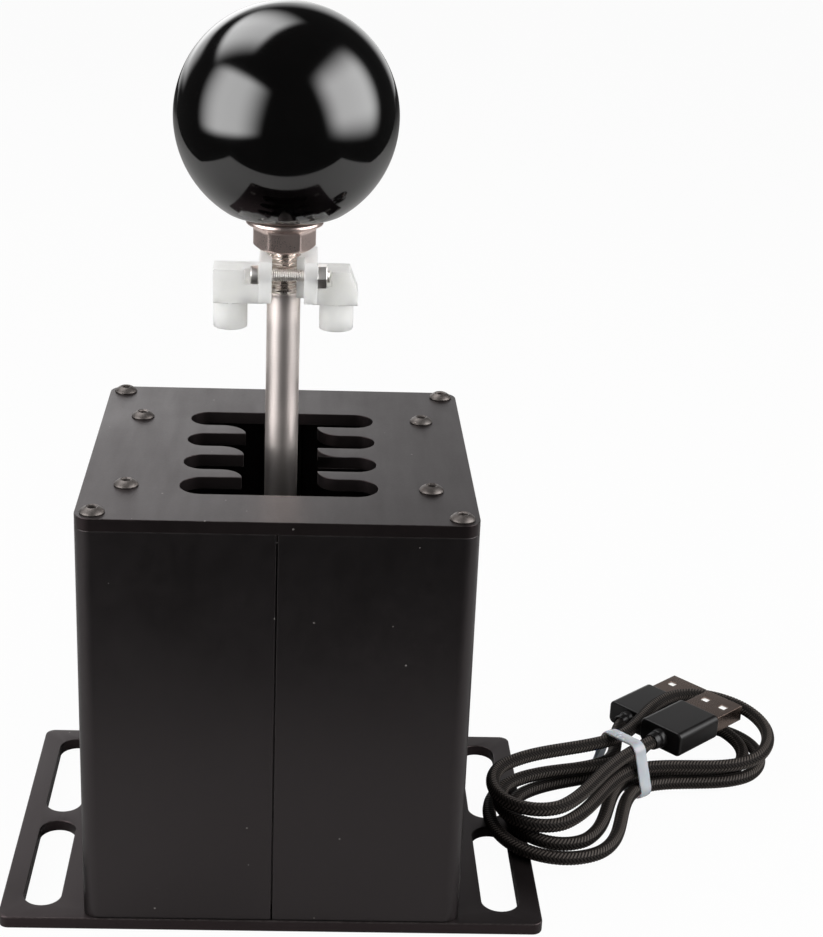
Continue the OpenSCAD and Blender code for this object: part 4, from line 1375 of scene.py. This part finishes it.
@dataclass
class Mechanism:
    """Brackets, cradle, springs and the controller inside the housing. Sizes in millimetres."""

    lever_y: float = 6.35
    pivot_z: float = 27.0
    spring_x: Pair = (21.3, 25.5)
    spring_d: float = 10.0
    wire_d: float = 1.0
    turns: float = 3.0
    usb_x: float = 22.0
    usb_y: Pair = (33.0, 44.2)
    usb_z: float = 12.6
    tongue: Pair = (5.2, 0.9)

    def springs(self) -> bpy.types.Mesh:
        """The two return springs as wound wire.

        Returns:
            The mesh, in place.
        """
        low, high = self.spring_x
        rig = Rig("return springs", {"Turns": self.turns, "Radius": self.spring_d / 2 * MM,
                                     "Length": (high - low) * MM, "Wire": self.wire_d / 2 * MM,
                                     "Finish": WIRE.material()})
        given = rig.given
        coil = rig.node("GeometryNodeCurveSpiral", {},
                        {"Resolution": 40, "Rotations": given["Turns"], "Start Radius": given["Radius"],
                         "End Radius": given["Radius"], "Height": given["Length"]})
        section = rig.node("GeometryNodeCurvePrimitiveCircle", {},
                           {"Resolution": 12, "Radius": given["Wire"]})
        wire = rig.node("GeometryNodeCurveToMesh", {},
                        {"Curve": coil, "Profile Curve": section, "Fill Caps": True})
        x, _, _ = rig.split(rig.node("GeometryNodeInputPosition"))
        out = rig.node("ShaderNodeCombineXYZ", {}, {"X": x})
        lay = rig.node("FunctionNodeAlignRotationToVector", {"axis": "Z"}, {"Vector": out})
        spots = rig.node("GeometryNodeMeshToPoints", {}, {0: given["Geometry"]})
        smooth_wire = rig.node("GeometryNodeSetShadeSmooth", {}, {0: wire})
        rig.end(rig.node("GeometryNodeInstanceOnPoints", {},
                         {"Points": spots, "Instance": smooth_wire, "Rotation": lay}), given["Finish"])
        return rig.run("springs", [Vector((side * low, self.lever_y, self.pivot_z)) * MM for side in (-1, 1)])

    def socket_tongue(self) -> bpy.types.Mesh:
        """The tongue in the mouth of the USB socket.

        Returns:
            The mesh, in place.
        """
        y0, y1 = self.usb_y
        half, thick = self.tongue
        rings = []
        for y, inset in ((y0, 0.0), (y1 - 0.4, 0.0), (y1, 0.25)):
            w, t = half - inset, thick - inset
            rings.append([Vector((self.usb_x + x, y, self.usb_z + z)) * MM
                          for x, z in ((-w, -t), (-w, t), (w, t), (w, -t))])
        return smooth(loft("tongue", rings))

    def build(self) -> None:
        """Builds and dresses the mechanism."""
        for node, body in (("left_bracket", Body.HOUSING), ("right_bracket", Body.HOUSING),
                           ("cradle_frame", Body.CRADLE)):
            dress_node(node, MACHINED, body, 0.4)
        dress("return_springs", self.springs(), WIRE, Body.HOUSING, "select_springs")
        for node, finish, width in (("controller_board", BOARD, 0.12), ("board_chips", CHIP, 0.12),
                                    ("usb_socket", NICKEL, 0.14)):
            dress_node(node, finish, Body.HOUSING, width)
        dress("usb_tongue", self.socket_tongue(), INSERT, Body.HOUSING)
        for node, finish, body in (
                ("trunnion_bushes", BRONZE, Body.HOUSING), ("board_standoffs", BRONZE, Body.HOUSING),
                ("board_screws", NICKEL, Body.HOUSING), ("trunnions", STEEL, Body.CRADLE),
                ("lever_pin", STEEL, Body.CRADLE), ("detent_plungers", BRONZE, Body.CRADLE)):
            dress_node(node, finish, body, 0.1)


# Lever


@dataclass
class Lever:
    """Rod, nut, ball and collar, with the hub that they stand in. Sizes in millimetres."""

    y: float = 6.35
    foot_z: float = 33.0
    rod_d: float = 8.0
    thread_z: float = 144.2
    thread_d: float = 7.8
    pitch: float = 1.25
    groove: float = 0.70
    rod_top: float = 174.5
    ball_d: float = 51.98
    ball_flat_d: float = 26.6
    ball_foot: float = 163.1
    nut_z: float = 154.5
    nut_af: float = 13.0
    nut_hex: float = 4.2
    flange_d: float = 18.2
    flare: Pair = (4.3, 1.7)
    screw_seat: Triple = (-5.8, 0.75, 149.3)
    screw_d: float = 2.9
    screw_end: float = 10.7
    head_d: float = 4.6
    head_l: float = 2.1
    head_af: float = 2.0
    screw_groove: float = 0.24
    screw_pitch: float = 0.5

    def rod(self) -> bpy.types.Mesh:
        """The ground rod, up to its screw thread.

        Returns:
            The mesh, in place.
        """
        r = self.rod_d / 2
        low, high, chamfer = self.foot_z, self.thread_z, 0.4
        profile = [(0.0, low), (r - chamfer, low), (r, low + chamfer)]
        profile += [(r, blend(low + chamfer, high - 0.45, k / 8)) for k in range(1, 9)]
        profile += [(r - 0.12, high - 0.1), (r - 0.3, high), (0.0, high)]
        shank = lathe("shank", profile, 64)
        shank.transform(Matrix.Translation((0, self.y * MM, 0)))
        return smooth(shank, 28.0)

    def rod_thread(self) -> bpy.types.Mesh:
        """The screw thread on the end of the rod.

        Returns:
            The mesh, in place.
        """
        tip = thread("rod", self.thread_d / 2 * MM, self.groove * MM, self.pitch * MM,
                     (self.rod_top - self.thread_z) * MM, CUT, sides=48)
        tip.transform(Matrix.Translation((0, self.y * MM, self.thread_z * MM)))
        return smooth(tip, 28.0)

    def ball(self) -> bpy.types.Mesh:
        """The ball knob, with a bore for the rod.

        Returns:
            The mesh, in place.
        """
        radius = self.ball_d / 2
        bore = self.thread_d / 2 + 0.02
        start = math.asin(self.ball_flat_d / 2 / radius)
        centre = self.ball_foot + radius * math.cos(start)
        profile = [(0.0, self.rod_top + 1), (bore, self.rod_top + 1), (bore, self.ball_foot + 0.3),
                   (bore + 0.3, self.ball_foot), (self.ball_flat_d / 2 - 0.4, self.ball_foot),
                   (self.ball_flat_d / 2 - 0.1, self.ball_foot + 0.06)]
        steps = 88
        for k in range(1, steps):
            angle = blend(start, math.pi, k / steps)
            profile.append((radius * math.sin(angle), centre - radius * math.cos(angle)))
        profile.append((0.0, centre + radius))
        mesh = lathe("ball", profile, 144)
        mesh.transform(Matrix.Translation((0, self.y * MM, 0)))
        return smooth(mesh, 40.0)

    def flange_nut(self) -> bpy.types.Mesh:
        """A hexagon nut under the ball, its corners turned off and its top drawn out to a flange.

        Returns:
            The mesh, in place.
        """
        n, low, bore = 96, self.nut_z, self.thread_d / 2 + 0.02
        corner = self.nut_af / 2 / math.cos(math.pi / 6) - 0.14
        side = [min(p.length, corner) for p in hexagon(self.nut_af, 0.0, n)]
        rim, boss = self.flange_d / 2, self.flange_d / 2 - 0.9
        turned = [low + 0.2 + 0.6 * (r - self.nut_af / 2 + 0.2) for r in side]
        rows = [([bore] * n, [low] * n), ([self.nut_af / 2 - 0.35] * n, [low] * n), (side, turned),
                (side, [low + self.nut_hex] * n)]
        start, rise = self.flare
        for k in range(1, 7):
            angle = k * math.pi / 12
            skirt = [blend(r, rim - 0.12, 1 - math.cos(angle)) for r in side]
            rows.append((skirt, [low + start + rise * math.sin(angle)] * n))
        lip = ((rim - 0.02, 6.15), (rim, 6.4), (rim - 0.03, 6.7), (rim - 0.15, 7.0), (rim - 0.4, 7.25),
               (boss, 7.4))
        rows += [([r] * n, [low + z] * n) for r, z in lip]
        rows += [([r] * n, [self.ball_foot - 0.02] * n) for r in (boss, bore)]
        spokes = [2 * math.pi * j / n + math.pi / 6 for j in range(n)]
        rings = [[Vector((r * math.cos(a), r * math.sin(a) + self.y, z)) for a, r, z in zip(spokes, *row)]
                 for row in rows]
        return smooth(loft("nut", metres(rings)), 24.0)

    def clamp_screw(self) -> bpy.types.Mesh:
        """A clamp screw along +Z with a round head, its seat at the origin.

        Returns:
            The mesh.
        """
        n, r, top, af = 36, self.head_d / 2, self.head_l, self.head_af
        rings = [[Vector((0, 0, 0))], circle(r - 0.2, 0.0, n), circle(r, 0.2, n), circle(r, top - 0.55, n),
                 circle(r - 0.12, top - 0.25, n), circle(r - 0.4, top - 0.05, n), circle(r - 0.6, top, n),
                 hexagon(af + 0.1, top, n), hexagon(af, top - 0.1, n), hexagon(af, top - 1.1, n),
                 [Vector((0, 0, top - 1.4))]]
        head = loft("head", metres(rings))
        length = (self.screw_end - self.screw_seat[0]) * MM
        shank = thread("clamp", self.screw_d / 2 * MM, self.screw_groove * MM, self.screw_pitch * MM, length,
                       ZINC, sides=24, rows=8)
        shank.transform(Matrix.Rotation(math.pi, 4, "X"))
        return smooth(joined("clamp_screw", [head, shank]), 28.0)

    def build(self) -> None:
        """Builds and dresses the lever."""
        dress("ground_rod", self.rod(), STEEL, Body.LEVER, "lever_rod")
        dress("rod_thread", self.rod_thread(), CUT, Body.LEVER)
        dress("polished_ball", self.ball(), BALL, Body.LEVER, "ball_knob")
        dress("dressed_flange_nut", self.flange_nut(), NICKEL, Body.LEVER, "flange_nut")
        for node in ("collar_left", "collar_right"):
            dress_node(node, NYLON, Body.LEVER, 0.14, angle=40.0)
        seat = Vector(self.screw_seat) * MM
        screw = set_on_points("clamp_screw", self.clamp_screw(), [seat], ZINC, Axis.LEFT)
        dress("clamp_screw", screw, ZINC, Body.LEVER, "collar_screw")
        for node, finish, width in (("collar_nut", ZINC, 0.16), ("lever_hub", MACHINED, 0.28),
                                    ("hub_bushes", BRONZE, 0.12), ("tail_magnet", NICKEL, 0.2)):
            dress_node(node, finish, Body.LEVER, width)


# Studio


@dataclass(frozen=True)
class SoftBox:
    """A soft lamp seen from the ball: its direction, distance, size, brightness and soft margins."""

    name: str
    azimuth: float
    elevation: float
    distance: float
    width: float
    height: float
    radiance: float
    margins: Pair

    def glow(self, data: bpy.types.Light) -> None:
        """Lets the lamp fade out towards its margins.

        Args:
            data: The lamp.
        """
        tree = tree_of(data)
        u, v, _ = tree.split(tree.node("ShaderNodeNewGeometry", output="Parametric"))
        across, upward = self.margins
        share = u.ease(0.0, across) * (1 - u).ease(0.0, across)
        share = share * v.ease(0.0, upward) * (1 - v).ease(0.0, upward)
        tree.node("ShaderNodeOutputLight", {}, {0: tree.node("ShaderNodeEmission", {}, {"Strength": share})})

    def build(self, target: Vector) -> None:
        """Hangs the lamp so that it faces the target.

        Args:
            target: Triple that it lights.
        """
        a, e = math.radians(self.azimuth), math.radians(self.elevation)
        back = Vector((math.sin(a) * math.cos(e), -math.cos(a) * math.cos(e), math.sin(e)))
        data = bpy.data.lights.new(self.name, "AREA")
        data.shape = "RECTANGLE"
        data.size, data.size_y = self.width, self.height
        data.energy = self.radiance * math.pi * self.width * self.height
        self.glow(data)
        lamp = placed(self.name, data)
        lamp.location = target + back * self.distance
        lamp.rotation_mode = "QUATERNION"
        lamp.rotation_quaternion = (-back).to_track_quat("-Z", "Y")
        lamp.visible_camera = False


@dataclass
class Studio:
    """Camera, pale floor, lamps and a white background."""

    eye: Triple = (0.00469, -0.42895, 0.26861)
    yaw: float = math.radians(1.62)
    pitch: float = math.radians(21.27)
    roll: float = math.radians(1.74)
    lens: float = 73.0
    shift_x: float = 0.0656
    target: Triple = (0.0, 0.00635, 0.186)
    floor_tone: Colour = (0.43, 0.425, 0.42)
    floor_white: float = 0.965
    floor_outline: tuple[Pair, ...] = (
        (-0.29, -0.16), (0.30, -0.16), (0.32, 0.10), (1.6, 2.6), (-1.5, 2.6), (-0.30, 0.10))
    backdrop: Pair = (0.80, 0.95)
    room: float = 0.03
    boxes: tuple[SoftBox, ...] = (
        SoftBox("left softbox", -60.0, 15.0, 0.60, 1.04, 0.72, 5.6, (0.42, 0.18)),
        SoftBox("right softbox", 74.0, 21.0, 0.60, 0.98, 0.94, 5.8, (0.34, 0.36)),
        SoftBox("rear softbox", -135.0, 57.0, 0.70, 0.84, 0.62, 4.6, (0.42, 0.20)),
        SoftBox("backlight", -158.0, 12.0, 1.10, 1.20, 0.50, 1.35, (0.30, 0.30)),
    )

    def camera(self) -> None:
        """Sets up the camera at the photograph's place."""
        cp, sp = math.cos(self.pitch), math.sin(self.pitch)
        ahead = Vector((math.sin(self.yaw) * cp, math.cos(self.yaw) * cp, -sp))
        right = Vector((math.cos(self.yaw), -math.sin(self.yaw), 0.0))
        up = right.cross(ahead)
        across = math.cos(self.roll) * right + math.sin(self.roll) * up
        upward = -math.sin(self.roll) * right + math.cos(self.roll) * up
        data = bpy.data.cameras.new("camera")
        data.lens, data.sensor_width, data.shift_x = self.lens, 36.0, self.shift_x
        data.clip_start, data.clip_end = 0.01, 20.0
        made = placed("camera", data)
        place = Matrix((across, upward, -ahead)).transposed().to_4x4()
        made.matrix_world = Matrix.Translation(self.eye) @ place
        bpy.context.scene.camera = made

    def floor(self) -> None:
        """Lays the pale floor, which the camera sees nearly white with the object's shadow on it."""
        outline = [(x, y, 0.0) for x, y in self.floor_outline]
        mesh = bpy.data.meshes.new("floor")
        mesh.from_pydata(outline, [], [list(range(len(outline)))])
        made = bpy.data.materials.new("pale floor")
        tree = tree_of(made)
        cloud = tree.noise(tree.place(), 9.0, 3.0)
        tone = tree.mix(cloud, shade(self.floor_tone, 0.98), shade(self.floor_tone, 1.02))
        matte = tree.node("ShaderNodeBsdfDiffuse", {}, {"Color": tone})
        white = tree.node("ShaderNodeEmission", {}, {"Color": (1.0, 1.0, 1.0, 1.0), "Strength": 1.0})
        share = tree.seen() * self.floor_white
        surface = tree.node("ShaderNodeMixShader", {}, {0: share, 1: matte, 2: white})
        tree.node("ShaderNodeOutputMaterial", {}, {"Surface": surface})
        mesh.materials.append(made)
        piece = placed("floor", mesh)

    def world(self) -> None:
        """A white background to the camera, white behind the object and a dim room in front of it."""
        made = bpy.data.worlds.new("studio")
        tree = tree_of(made)
        _, depth, _ = tree.split(tree.node("ShaderNodeTexCoord", output="Generated"))
        seen = tree.seen()
        strength = seen + (1 - seen) * (self.room + (1 - self.room) * depth.ease(*self.backdrop))
        ground = tree.node("ShaderNodeBackground", {}, {"Color": (1.0, 1.0, 1.0, 1.0), "Strength": strength})
        tree.node("ShaderNodeOutputWorld", {}, {"Surface": ground})
        bpy.context.scene.world = made

    def build(self) -> None:
        """Sets up the studio."""
        bpy.context.scene.view_settings.view_transform = "Standard"
        self.camera()
        self.floor()
        self.world()
        for box in self.boxes:
            box.build(Vector(self.target))


def main() -> None:
    """Builds the scene piece by piece, logging each piece's faces."""
    logging.basicConfig(level=logging.INFO, format="%(name)s: %(message)s")
    for part in (Studio(), Cable(), Housing(), Mechanism(), Lever()):
        part.build()


if __name__ == "__main__":
    main()
